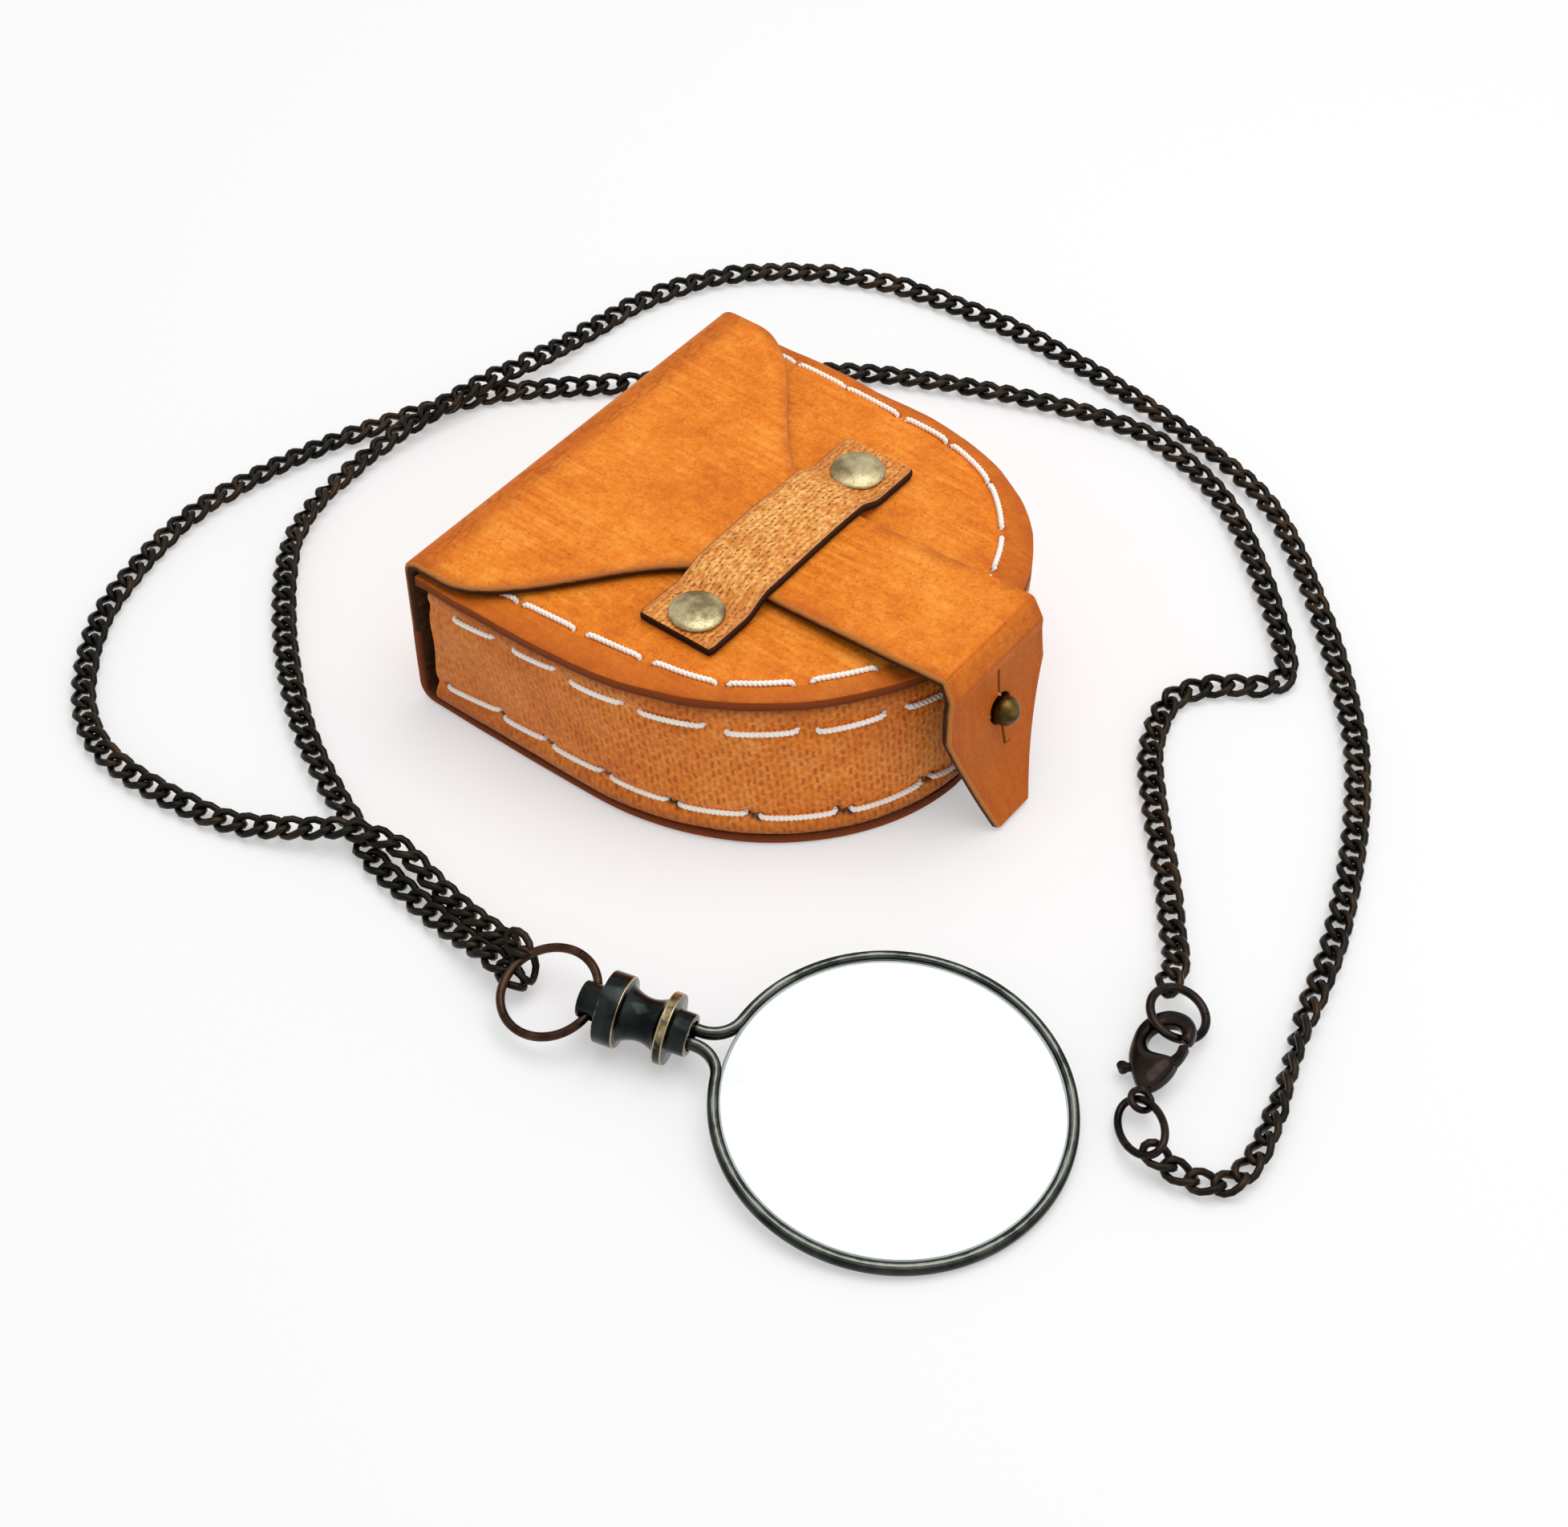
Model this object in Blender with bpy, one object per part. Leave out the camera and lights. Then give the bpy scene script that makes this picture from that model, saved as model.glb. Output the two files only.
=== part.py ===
"""Hand lens on a neck chain, with its leather carrying case.

The lens lies on the table in front of the closed case, and the chain runs round both.
Metres, +Z up. The origin is the centre of the case's underside, +X runs from the
case's folded spine to its closing tab.
"""
import math

import bmesh
import bpy
from mathutils import Matrix, Vector

# Case, sizes in metres and angles in degrees
CASE_LENGTH = 0.077
CASE_WIDTH = 0.078
CASE_DEPTH = 0.028
NOSE_LENGTH = 0.044
PANEL_THICKNESS = 0.0020
COVER_THICKNESS = 0.0020
GUSSET_THICKNESS = 0.0016
GUSSET_INSET = 0.0006
PANEL_LEAN = 0.15
LEAN_START = -0.009
LEAN_BLEND = 0.008

# Flap, tongue and closing tab
FLAP_SHOULDER = 0.0060
OGEE_LENGTH = 0.0335
TONGUE_WIDTH = 0.0232
TONGUE_RISE = 0.0018
NOSE_TO_TAB = 0.0045
TAB_LENGTH = 0.0310
TAB_LEAN = 0.0062
TAB_LEAN_POWER = 2.2
TAB_SHOULDER = 0.0112
TAB_SHOULDER_WIDTH = 0.0248
TAB_TIP_WIDTH = 0.0070
TAB_TIP_ROUND = 0.0010
TAB_DRIFT = 0.0020
TAB_HOLE_RADIUS = 0.0027

# Riveted keeper
KEEPER_X = 0.0023
KEEPER_WIDTH = 0.0134
KEEPER_LENGTH = 0.0510
KEEPER_THICKNESS = 0.0018
KEEPER_SLOPE = 0.0019
KEEPER_PLAY = 0.0021
RIVET_SPAN = 0.0402
RIVET_CAP_RADIUS = 0.00435
RIVET_CAP_RIM = 0.00035
RIVET_CAP_HEIGHT = 0.0017
RIVET_BASE_RADIUS = 0.0038
RIVET_BASE_THICKNESS = 0.0008
RIVET_POST_RADIUS = 0.0015
RIVET_POST_SEAT = 0.0005

# Ball stud that the tab buttons over
STUD_DROP = 0.0090
STUD_BALL_RADIUS = 0.0025
STUD_REACH = 0.0070
STUD_NECK_RADIUS = 0.0016
STUD_FLANGE_RADIUS = 0.0035
STUD_FLANGE_THICKNESS = 0.0008
STUD_BORE_RADIUS = 0.0010
STUD_BORE_DEPTH = 0.0030
STUD_SHANK_SPARE = 0.0013
SCREW_HEAD_RADIUS = 0.0035
SCREW_HEAD_THICKNESS = 0.0011
SCREW_PIN_RADIUS = 0.0007

# Lens, rim and turned handle
PIVOT_SPOT = (0.0248, -0.0727)
LENS_HEADING = 197.0
LENS_ROLL = 3.4
RIM_RADIUS = 0.0251
RIM_WIRE_RADIUS = 0.0009
RIM_GROOVE_FLOOR = 0.0001
RIM_GROOVE_ANGLE = 45.0
THROAT_RADIUS = 0.0050
TAIL_GAP = 0.0006
TAIL_LENGTH = 0.0040
GLASS_EDGE = 0.0015
GLASS_CENTRE = 0.0046
GLASS_BEVEL = 0.00055
RIM_TO_COLLAR = 0.0043
COLLAR_RADIUS = 0.0032
COLLAR_LENGTH = 0.0027
THIN_FLANGE_RADIUS = 0.00535
THIN_FLANGE_LENGTH = 0.0014
NECK_RADIUS = 0.00325
NECK_FLARE = 0.0011
NECK_LENGTH = 0.0061
FLANGE_RADIUS = 0.0054
FLANGE_LENGTH = 0.0032
STUB_RADIUS = 0.00275
STUB_LENGTH = 0.0036
BORE_RADIUS = 0.00235
BORE_DEPTH = 0.0060
SOLDER_LENGTH = 0.0012

# Ring through the handle's cross hole
RING_RADIUS = 0.0070
RING_WIRE_RADIUS = 0.00062
CROSS_HOLE_RADIUS = 0.0013
CROSS_HOLE_ROLL = 10.0
RING_DIP = 12.0

# Curb chain
LINK_LENGTH = 0.0063
LINK_WIDTH = 0.0042
LINK_WIRE_RADIUS = 0.00052
STRAND_STEP = 0.0137
BEND_REACH = 0.0100
MIDDLE_LINK_TURN = -35.0
MIDDLE_LINK_HEADING = 174.5
LINK_SHIFT = 0.0010

# Lobster clasp and its two jump rings
CLASP_SPOT = (0.0948, -0.0373)
CLASP_HEIGHT = 0.0031
CLASP_HEADING = 17.9
CLASP_ROLL = 18.0
HOOK_THICKNESS = 0.0020
CLASP_THICKNESS = 0.0034
SLOT_HEIGHT = 0.0016
SLOT_FLOOR = 0.0034
SLOT_TOP = 0.0094
LEVER_THICKNESS = 0.0010
LEVER_PIVOT = (0.0010, 0.0062)
PIN_RADIUS = 0.0005
SPRING_X = -0.0008
SPRING_RADIUS = 0.00038
SPRING_WIRE_RADIUS = 0.00009
SPRING_LENGTH = 0.0010
SPRING_TURNS = 4
EYELET_RADIUS = 0.0017
EYELET_WIRE_RADIUS = 0.00055
EYELET_TILT = 32.0
JUMP_WIRE_RADIUS = 0.00065
UPPER_JUMP_RADIUS = 0.0042
UPPER_JUMP_SPOT = (0.00035, 0.0173)
UPPER_JUMP_TILT = 48.0
LOWER_JUMP_LENGTH = 0.0098
LOWER_JUMP_WIDTH = 0.0068
LOWER_JUMP_YAW = 10.0
LOWER_JUMP_DIP = 2.0
LOWER_JUMP_ROLL = 14.0
UPPER_END_TURN = 100.0
UPPER_END_HEADING = 125.0
LOWER_END_TURN = -45.0
LOWER_END_HEADING = 2.0

# Clearances and facets
GAP = 0.0003
TABLE_LIFT = 0.00006
FIT = 0.0003
ROUND_STEPS = 32
WIRE_SIDES = 8

# Routes of the two chain strands, from the ring to the clasp, chosen from the photograph
LEFT_ROUTE = (
    (0.0073, -0.0698, 0.0047), (-0.0040, -0.0680, 0.0026), (-0.0120, -0.0669, 0.0024),
    (-0.0190, -0.0665, 0.0058), (-0.0270, -0.0690, 0.0073), (-0.0345, -0.0732, 0.0050),
    (-0.0440, -0.0776, 0.0021), (-0.0572, -0.0800, 0.0021), (-0.0704, -0.0795, 0.0021),
    (-0.0807, -0.0743, 0.0021), (-0.0905, -0.0635, 0.0021), (-0.0960, -0.0522, 0.0021),
    (-0.0998, -0.0340, 0.0021), (-0.0978, -0.0168, 0.0021), (-0.0921, 0.0011, 0.0021),
    (-0.0819, 0.0213, 0.0021), (-0.0721, 0.0318, 0.0021), (-0.0637, 0.0396, 0.0021),
    (-0.0490, 0.0540, 0.0021), (-0.0328, 0.0678, 0.0021), (-0.0091, 0.0788, 0.0021),
    (0.0115, 0.0846, 0.0021), (0.0244, 0.0838, 0.0021), (0.0388, 0.0774, 0.0021),
    (0.0542, 0.0640, 0.0021), (0.0660, 0.0507, 0.0021), (0.0660, 0.0450, 0.0021),
    (0.0600, 0.0401, 0.0021), (0.0557, 0.0330, 0.0021), (0.0585, 0.0223, 0.0021),
    (0.0652, 0.0125, 0.0021), (0.0756, 0.0000, 0.0021), (0.0818, -0.0083, 0.0026),
    (0.0854, -0.0133, 0.0036),
)
RIGHT_ROUTE = (
    (0.0073, -0.0743, 0.0047), (-0.0043, -0.0726, 0.0026), (-0.0130, -0.0714, 0.0021),
    (-0.0215, -0.0698, 0.0021), (-0.0292, -0.0664, 0.0021), (-0.0384, -0.0625, 0.0021),
    (-0.0509, -0.0557, 0.0021), (-0.0657, -0.0443, 0.0021), (-0.0789, -0.0304, 0.0021),
    (-0.0845, -0.0192, 0.0021), (-0.0865, -0.0051, 0.0021), (-0.0852, 0.0080, 0.0050),
    (-0.0822, 0.0215, 0.0073), (-0.0797, 0.0345, 0.0052), (-0.0786, 0.0480, 0.0021),
    (-0.0766, 0.0605, 0.0021), (-0.0698, 0.0748, 0.0021), (-0.0587, 0.0849, 0.0021),
    (-0.0450, 0.0916, 0.0021), (-0.0287, 0.0944, 0.0021), (-0.0111, 0.0947, 0.0021),
    (0.0079, 0.0925, 0.0021), (0.0284, 0.0880, 0.0021), (0.0456, 0.0811, 0.0021),
    (0.0650, 0.0638, 0.0021), (0.0785, 0.0488, 0.0021), (0.0858, 0.0390, 0.0021),
    (0.0937, 0.0242, 0.0021), (0.1010, 0.0060, 0.0021), (0.1056, -0.0111, 0.0021),
    (0.1104, -0.0269, 0.0021), (0.1121, -0.0355, 0.0021), (0.1108, -0.0412, 0.0022),
    (0.1053, -0.0435, 0.0026),
)

# Where things follow from the sizes above
SPINE_X = -CASE_LENGTH / 2
NOSE_X = CASE_LENGTH / 2
FOLD_X = SPINE_X - GAP - COVER_THICKNESS
COVER_TOP = CASE_DEPTH + GAP + COVER_THICKNESS
COVER_UNDER = CASE_DEPTH + GAP
KEEPER_FOOT = CASE_DEPTH + GAP
TAB_X = NOSE_X + NOSE_TO_TAB
STUD_X = NOSE_X - GUSSET_INSET + GAP
STUD_HEIGHT = CASE_DEPTH - STUD_DROP
TAIL_Y = RIM_WIRE_RADIUS + TAIL_GAP / 2
FLANGE_FACE = STUB_LENGTH / 2 - STUB_LENGTH
COLLAR_END = FLANGE_FACE - FLANGE_LENGTH - NECK_LENGTH - THIN_FLANGE_LENGTH - COLLAR_LENGTH
LENS_X = COLLAR_END - RIM_TO_COLLAR - RIM_RADIUS - RIM_WIRE_RADIUS

# Finishes: colour, roughness, metallic
TAN_LEATHER = ((0.72, 0.30, 0.07), 0.55, 0.0)
GUSSET_LEATHER = ((0.52, 0.20, 0.06), 0.60, 0.0)
KEEPER_LEATHER = ((0.50, 0.20, 0.06), 0.60, 0.0)
AGED_BRASS = ((0.36, 0.29, 0.16), 0.40, 1.0)
BLACK_BRASS = ((0.035, 0.034, 0.032), 0.35, 0.9)
GUNMETAL = ((0.06, 0.06, 0.06), 0.30, 0.9)
BROWN_COPPER = ((0.10, 0.055, 0.035), 0.35, 0.9)
CHAIN_BRONZE = ((0.055, 0.042, 0.032), 0.40, 0.9)
SOLDER = ((0.45, 0.45, 0.45), 0.45, 1.0)
CLEAR_GLASS = ((0.90, 0.95, 0.93), 0.03, 0.0)


def clear_scene():
    for item in list(bpy.data.objects):
        bpy.data.objects.remove(item, do_unlink=True)


def add_object(name, data, finish=None, parent=None):
    item = bpy.data.objects.new(name, data)
    bpy.context.scene.collection.objects.link(item)
    item.parent = parent
    if finish:
        colour, roughness, metallic = finish
        material = bpy.data.materials.new(name)
        material.use_nodes = True
        shader = material.node_tree.nodes["Principled BSDF"]
        shader.inputs["Base Color"].default_value = (*colour, 1.0)
        shader.inputs["Roughness"].default_value = roughness
        shader.inputs["Metallic"].default_value = metallic
        if finish is CLEAR_GLASS:
            shader.inputs["Transmission Weight"].default_value = 1.0
        data.materials.append(material)
    return item


def add_empty(name, location, rotation, parent=None):
    item = add_object(name, None, parent=parent)
    item.location = location
    item.rotation_euler = [math.radians(angle) for angle in rotation]
    return item


def mesh_of(shape, name, smooth_angle=None):
    bmesh.ops.recalc_face_normals(shape, faces=shape.faces)
    mesh = bpy.data.meshes.new(name)
    shape.to_mesh(mesh)
    shape.free()
    if smooth_angle is not None:
        mesh.shade_smooth()
        mesh.set_sharp_from_angle(angle=math.radians(smooth_angle))
    return mesh


def loft(rings, loop=False):
    """Skin rings of equally many points; an open row of rings gets a face at each end."""
    shape = bmesh.new()
    rows = [[shape.verts.new(point) for point in ring] for ring in rings]
    pairs = list(zip(rows, rows[1:]))
    if loop:
        pairs.append((rows[-1], rows[0]))
    count = len(rows[0])
    for low, high in pairs:
        for i in range(count):
            j = (i + 1) % count
            shape.faces.new((low[i], low[j], high[j], high[i]))
    if not loop:
        shape.faces.new(rows[0])
        shape.faces.new(rows[-1])
    return shape


def turned(profile, steps=ROUND_STEPS):
    """Spin a profile of (height, radius) points that starts and ends on the Z axis."""
    shape = bmesh.new()
    verts = [shape.verts.new((radius, 0, height)) for height, radius in profile]
    edges = [shape.edges.new(pair) for pair in zip(verts, verts[1:])]
    bmesh.ops.spin(shape, geom=verts + edges, cent=(0, 0, 0), axis=(0, 0, 1),
                   angle=math.tau, steps=steps, use_merge=True)
    bmesh.ops.remove_doubles(shape, verts=shape.verts, dist=0.000001)
    return shape


def prism(outline, low, high):
    """Upright solid over an outline of (x, y) points."""
    return loft([[(x, y, z) for x, y in outline] for z in (low, high)])


def wire_loop(half_length, half_width, wire_radius, steps=ROUND_STEPS):
    """Closed oval of round wire, flat in XY, its long axis on X."""
    rings = []
    for i in range(steps):
        turn = math.tau * i / steps
        centre = Vector((half_length * math.cos(turn), half_width * math.sin(turn), 0))
        out = Vector((half_width * math.cos(turn), half_length * math.sin(turn), 0)).normalized()
        ring = []
        for k in range(WIRE_SIDES):
            side = math.tau * (k + 0.5) / WIRE_SIDES
            ring.append(centre + wire_radius * (math.cos(side) * out + math.sin(side) * Vector((0, 0, 1))))
        rings.append(ring)
    return loft(rings, loop=True)


def chain_link(name, parent_matrix, spot, heading):
    """One upright link of the chain, hung on a wire that passes through spot."""
    shape = wire_loop(LINK_LENGTH / 2 - LINK_WIRE_RADIUS, LINK_WIDTH / 2 - LINK_WIRE_RADIUS,
                      LINK_WIRE_RADIUS, 20)
    link = add_object(name, mesh_of(shape, name, 60), CHAIN_BRONZE)
    away = Vector((math.cos(math.radians(heading)), math.sin(math.radians(heading)), 0))
    link.location = parent_matrix @ Vector(spot) + LINK_SHIFT * away
    link.rotation_euler = (math.radians(90), 0, math.radians(heading))
    return link


def boolean(target, tool, operation="DIFFERENCE"):
    tool.hide_render = True
    tool.display_type = "WIRE"
    modifier = target.modifiers.new(tool.name, "BOOLEAN")
    modifier.operation = operation
    modifier.solver = "EXACT"
    modifier.object = tool


def drill(target, radius, length, location, rotation, parent=None):
    """Cut a round hole centred at location; the drill runs along its own Z."""
    profile = [(-length / 2, 0), (-length / 2, radius), (length / 2, radius), (length / 2, 0)]
    tool = add_object("cut_" + target.name, mesh_of(turned(profile, 20), "cut"), parent=parent)
    tool.location = location
    tool.rotation_euler = [math.radians(angle) for angle in rotation]
    boolean(target, tool)


def panel_drift(x):
    """How far the front panel has drifted to +Y at x: the soft case stands a little askew."""
    ahead = x - LEAN_START
    return PANEL_LEAN * (ahead + math.hypot(ahead, LEAN_BLEND)) / 2


def case_outline(inset=0.0, left=SPINE_X, lean=0.0):
    """D outline seen from above: straight sides from the spine, then a half ellipse."""
    half = CASE_WIDTH / 2 - inset
    centre = NOSE_X - NOSE_LENGTH
    points = [(left + (centre - left) * i / 4, -half) for i in range(4)]
    for i in range(ROUND_STEPS + 1):
        turn = math.pi * (i / ROUND_STEPS - 0.5)
        points.append((centre + (NOSE_LENGTH - inset) * math.cos(turn), half * math.sin(turn)))
    points += [(left + (centre - left) * i / 4, half) for i in reversed(range(4))]
    return [(x, y + lean * panel_drift(x)) for x, y in points]


def make_back_panel():
    low = [(x, y, 0) for x, y in case_outline(left=FOLD_X + GAP)]
    high = [(x, y, COVER_THICKNESS) for x, y in case_outline(left=FOLD_X + GAP + COVER_THICKNESS)]
    add_object("back_panel", mesh_of(loft([low, high]), "back_panel"), TAN_LEATHER)


def make_front_panel():
    shape = prism(case_outline(lean=1), CASE_DEPTH - PANEL_THICKNESS, CASE_DEPTH)
    panel = add_object("front_panel", mesh_of(shape, "front_panel"), TAN_LEATHER)
    for side in (-1, 1):
        drill(panel, RIVET_POST_RADIUS + FIT, PANEL_THICKNESS * 3,
              (KEEPER_X, side * RIVET_SPAN / 2, CASE_DEPTH), (0, 0, 0))


def make_gusset():
    low = COVER_THICKNESS + GAP
    high = CASE_DEPTH - PANEL_THICKNESS - GAP
    corners = []
    for inset, z in ((0, low), (0, high), (GUSSET_THICKNESS, high), (GUSSET_THICKNESS, low)):
        outline = case_outline(GUSSET_INSET + inset, lean=z / CASE_DEPTH)
        corners.append([(x, y, z) for x, y in outline])
    rings = list(zip(*corners))
    gusset = add_object("gusset", mesh_of(loft(rings), "gusset", 30), GUSSET_LEATHER)
    drill(gusset, STUD_NECK_RADIUS + FIT, GUSSET_THICKNESS * 4, (NOSE_X, 0, STUD_HEIGHT), (0, 90, 0))


def make_spine():
    """Mitred strip that turns on the fold at its outer lower edge."""
    fold = add_empty("spine_fold", (FOLD_X, 0, 0), (0, 0, 0))
    section = [(0, 0), (COVER_THICKNESS, COVER_THICKNESS),
               (COVER_THICKNESS, COVER_TOP - COVER_THICKNESS), (0, COVER_TOP)]
    half = CASE_WIDTH / 2
    rings = [[(x, y, z) for x, z in section] for y in (-half, half)]
    add_object("spine_strip", mesh_of(loft(rings), "spine_strip"), TAN_LEATHER, fold)
    return fold


def cover_half_width(x):
    """Half width of the flap and tongue at x: an ogee from the case's width to the tongue's."""
    start = FOLD_X + COVER_THICKNESS + FLAP_SHOULDER
    share = min(max((x - start) / OGEE_LENGTH, 0), 1)
    tongue = TONGUE_WIDTH / 2
    return tongue + (CASE_WIDTH / 2 - tongue) * (1 + math.cos(math.pi * share)) / 2


def tongue_lift(x):
    """The tongue rises from the keeper to its fold over the nose."""
    start = KEEPER_X + KEEPER_WIDTH / 2
    return TONGUE_RISE * max(x - start, 0) / (TAB_X - start)


def cover_plate(x_values, top_shift, under_shift, origin):
    """Strip of cover leather through x_values; its ends shift for the mitred folds."""
    rings = []
    for i, x in enumerate(x_values):
        half = cover_half_width(x)
        lift = tongue_lift(x)
        first = i == 0
        last = i == len(x_values) - 1
        top = x + (top_shift[0] if first else top_shift[1] if last else 0)
        under = x + (under_shift[0] if first else under_shift[1] if last else 0)
        ring = [(top, -half, COVER_TOP + lift), (top, half, COVER_TOP + lift),
                (under, half, COVER_UNDER + lift), (under, -half, COVER_UNDER + lift)]
        rings.append([Vector(point) - origin for point in ring])
    return loft(rings)


def make_flap(spine_fold):
    fold = add_empty("flap_fold", (0, 0, COVER_TOP), (0, 0, 0), spine_fold)
    origin = Vector((FOLD_X, 0, COVER_TOP))
    keeper_edge = KEEPER_X - KEEPER_WIDTH / 2
    start = FOLD_X + COVER_THICKNESS + GAP
    end = keeper_edge - GAP
    x_values = [start + (end - start) * i / 18 for i in range(19)]
    flap = cover_plate(x_values, (-COVER_THICKNESS, 0), (0, 0), origin)
    add_object("cover_flap", mesh_of(flap, "cover_flap"), TAN_LEATHER, fold)
    start = keeper_edge
    end = TAB_X - COVER_THICKNESS - GAP
    x_values = [start + (end - start) * i / 14 for i in range(15)]
    x_values = sorted(x_values + [KEEPER_X + KEEPER_WIDTH / 2])
    tongue = cover_plate(x_values, (0, COVER_THICKNESS), (0, 0), origin)
    add_object("tongue_strap", mesh_of(tongue, "tongue_strap"), TAN_LEATHER, fold)
    return fold


def tab_half_width(down):
    shoulder = TAB_SHOULDER_WIDTH / 2
    if down < TAB_SHOULDER:
        return TONGUE_WIDTH / 2 + (shoulder - TONGUE_WIDTH / 2) * down / TAB_SHOULDER
    share = (down - TAB_SHOULDER) / (TAB_LENGTH - TAB_SHOULDER)
    half = shoulder + (TAB_TIP_WIDTH / 2 - shoulder) * share
    past = max(down - TAB_LENGTH + TAB_TIP_ROUND, 0) / TAB_TIP_ROUND
    return half - TAB_TIP_ROUND * (1 - math.sqrt(max(1 - past * past, 0)))


def make_tab(flap_fold):
    """Tab that hangs over the nose, kicks outwards below and buttons over the stud."""
    fold = add_empty("tab_fold", (TAB_X - FOLD_X, 0, TONGUE_RISE), (0, 0, 0), flap_fold)
    half = TONGUE_WIDTH / 2
    inner = -COVER_THICKNESS
    rings = [[(0, -half, 0), (0, half, 0), (inner, half, inner), (inner, -half, inner)]]
    downs = [0.0030 + (TAB_LENGTH - TAB_TIP_ROUND - 0.0030) * i / 12 for i in range(13)]
    downs += [TAB_LENGTH - TAB_TIP_ROUND * share for share in (0.5, 0.13, 0)]
    for down in downs:
        share = down / TAB_LENGTH
        lean = TAB_LEAN * share ** TAB_LEAN_POWER
        slope = TAB_LEAN * TAB_LEAN_POWER * share ** (TAB_LEAN_POWER - 1) / TAB_LENGTH
        inward = Vector((-1, 0, -slope)).normalized() * COVER_THICKNESS
        half = tab_half_width(down)
        outer = Vector((lean, -TAB_DRIFT * share ** 2, -down))
        ring = []
        for point, y in ((outer, -half), (outer, half), (outer + inward, half), (outer + inward, -half)):
            ring.append(point + Vector((0, y, 0)))
        rings.append(ring)
    tab = add_object("closing_tab", mesh_of(loft(rings), "closing_tab", 20), TAN_LEATHER, fold)
    hole_z = STUD_HEIGHT - COVER_TOP - TONGUE_RISE
    drill(tab, TAB_HOLE_RADIUS, COVER_THICKNESS * 5, (0, 0, hole_z), (0, 90, 0), fold)


def make_keeper():
    """Leather bridge that holds the tongue down, flat at its riveted ends."""
    arch = TONGUE_WIDTH / 2 + KEEPER_PLAY
    rise = COVER_THICKNESS + GAP
    half = KEEPER_LENGTH / 2
    steps = [arch + KEEPER_SLOPE * share for share in (1, 0.75, 0.5, 0.25, 0)]
    y_values = [-half] + [-y for y in steps] + steps[::-1] + [half]
    rings = []
    for y in y_values:
        share = min(max((arch + KEEPER_SLOPE - abs(y)) / KEEPER_SLOPE, 0), 1)
        low = KEEPER_FOOT + rise * (1 - math.cos(math.pi * share)) / 2
        high = low + KEEPER_THICKNESS
        left = -KEEPER_WIDTH / 2
        right = KEEPER_WIDTH / 2
        rings.append([(left, y, low), (right, y, low), (right, y, high), (left, y, high)])
    keeper = add_object("strap_keeper", mesh_of(loft(rings), "strap_keeper"), KEEPER_LEATHER)
    keeper.location.x = KEEPER_X
    for side in (-1, 1):
        drill(keeper, RIVET_POST_RADIUS + FIT, KEEPER_THICKNESS * 4,
              (KEEPER_X, side * RIVET_SPAN / 2, KEEPER_FOOT), (0, 0, 0))


def make_rivet(side_name, side):
    """Domed cap on the keeper, and the post with its base inside the case."""
    cap_z = KEEPER_FOOT + KEEPER_THICKNESS + GAP
    bore = RIVET_POST_RADIUS + FIT
    profile = [(RIVET_POST_SEAT + FIT, 0), (RIVET_POST_SEAT + FIT, bore), (0, bore),
               (0, RIVET_CAP_RADIUS)]
    for i in range(7):
        turn = math.pi / 2 * i / 6
        crown = RIVET_CAP_HEIGHT - RIVET_CAP_RIM
        profile.append((RIVET_CAP_RIM + crown * math.sin(turn), RIVET_CAP_RADIUS * math.cos(turn)))
    cap = add_object("rivet_cap_" + side_name, mesh_of(turned(profile), "rivet_cap", 40), AGED_BRASS)
    cap.location = (KEEPER_X, side * RIVET_SPAN / 2, cap_z)
    base_top = CASE_DEPTH - PANEL_THICKNESS - GAP
    post_top = cap_z + RIVET_POST_SEAT - base_top
    profile = [(-RIVET_BASE_THICKNESS, 0), (-RIVET_BASE_THICKNESS, RIVET_BASE_RADIUS),
               (0, RIVET_BASE_RADIUS), (0, RIVET_POST_RADIUS), (post_top, RIVET_POST_RADIUS), (post_top, 0)]
    post = add_object("rivet_post_" + side_name, mesh_of(turned(profile), "rivet_post", 40), AGED_BRASS)
    post.location = (KEEPER_X, side * RIVET_SPAN / 2, base_top)


def make_stud():
    """Ball stud on the gusset's nose, and the screw that holds it from inside."""
    shank = -GAP - GUSSET_THICKNESS - STUD_SHANK_SPARE
    bore = STUD_BORE_DEPTH + shank
    profile = [(bore, 0), (bore, STUD_BORE_RADIUS), (shank, STUD_BORE_RADIUS), (shank, STUD_NECK_RADIUS),
               (0, STUD_NECK_RADIUS), (0, STUD_FLANGE_RADIUS),
               (STUD_FLANGE_THICKNESS, STUD_FLANGE_RADIUS), (STUD_FLANGE_THICKNESS, STUD_NECK_RADIUS)]
    neck_turn = math.acos(STUD_NECK_RADIUS / STUD_BALL_RADIUS)
    for i in range(9):
        turn = -neck_turn + (math.pi / 2 + neck_turn) * i / 8
        profile.append((STUD_REACH + STUD_BALL_RADIUS * math.sin(turn), STUD_BALL_RADIUS * math.cos(turn)))
    stud = add_object("closing_stud", mesh_of(turned(profile), "closing_stud", 40), AGED_BRASS)
    stud.location = (STUD_X, 0, STUD_HEIGHT)
    stud.rotation_euler.y = math.radians(90)
    head = shank - GAP
    pin = bore - FIT
    profile = [(head - SCREW_HEAD_THICKNESS, 0), (head - SCREW_HEAD_THICKNESS, SCREW_HEAD_RADIUS),
               (head, SCREW_HEAD_RADIUS), (head, SCREW_PIN_RADIUS), (pin, SCREW_PIN_RADIUS), (pin, 0)]
    screw = add_object("stud_screw", mesh_of(turned(profile), "stud_screw", 40), AGED_BRASS)
    screw.location = stud.location
    screw.rotation_euler = stud.rotation_euler


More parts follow.
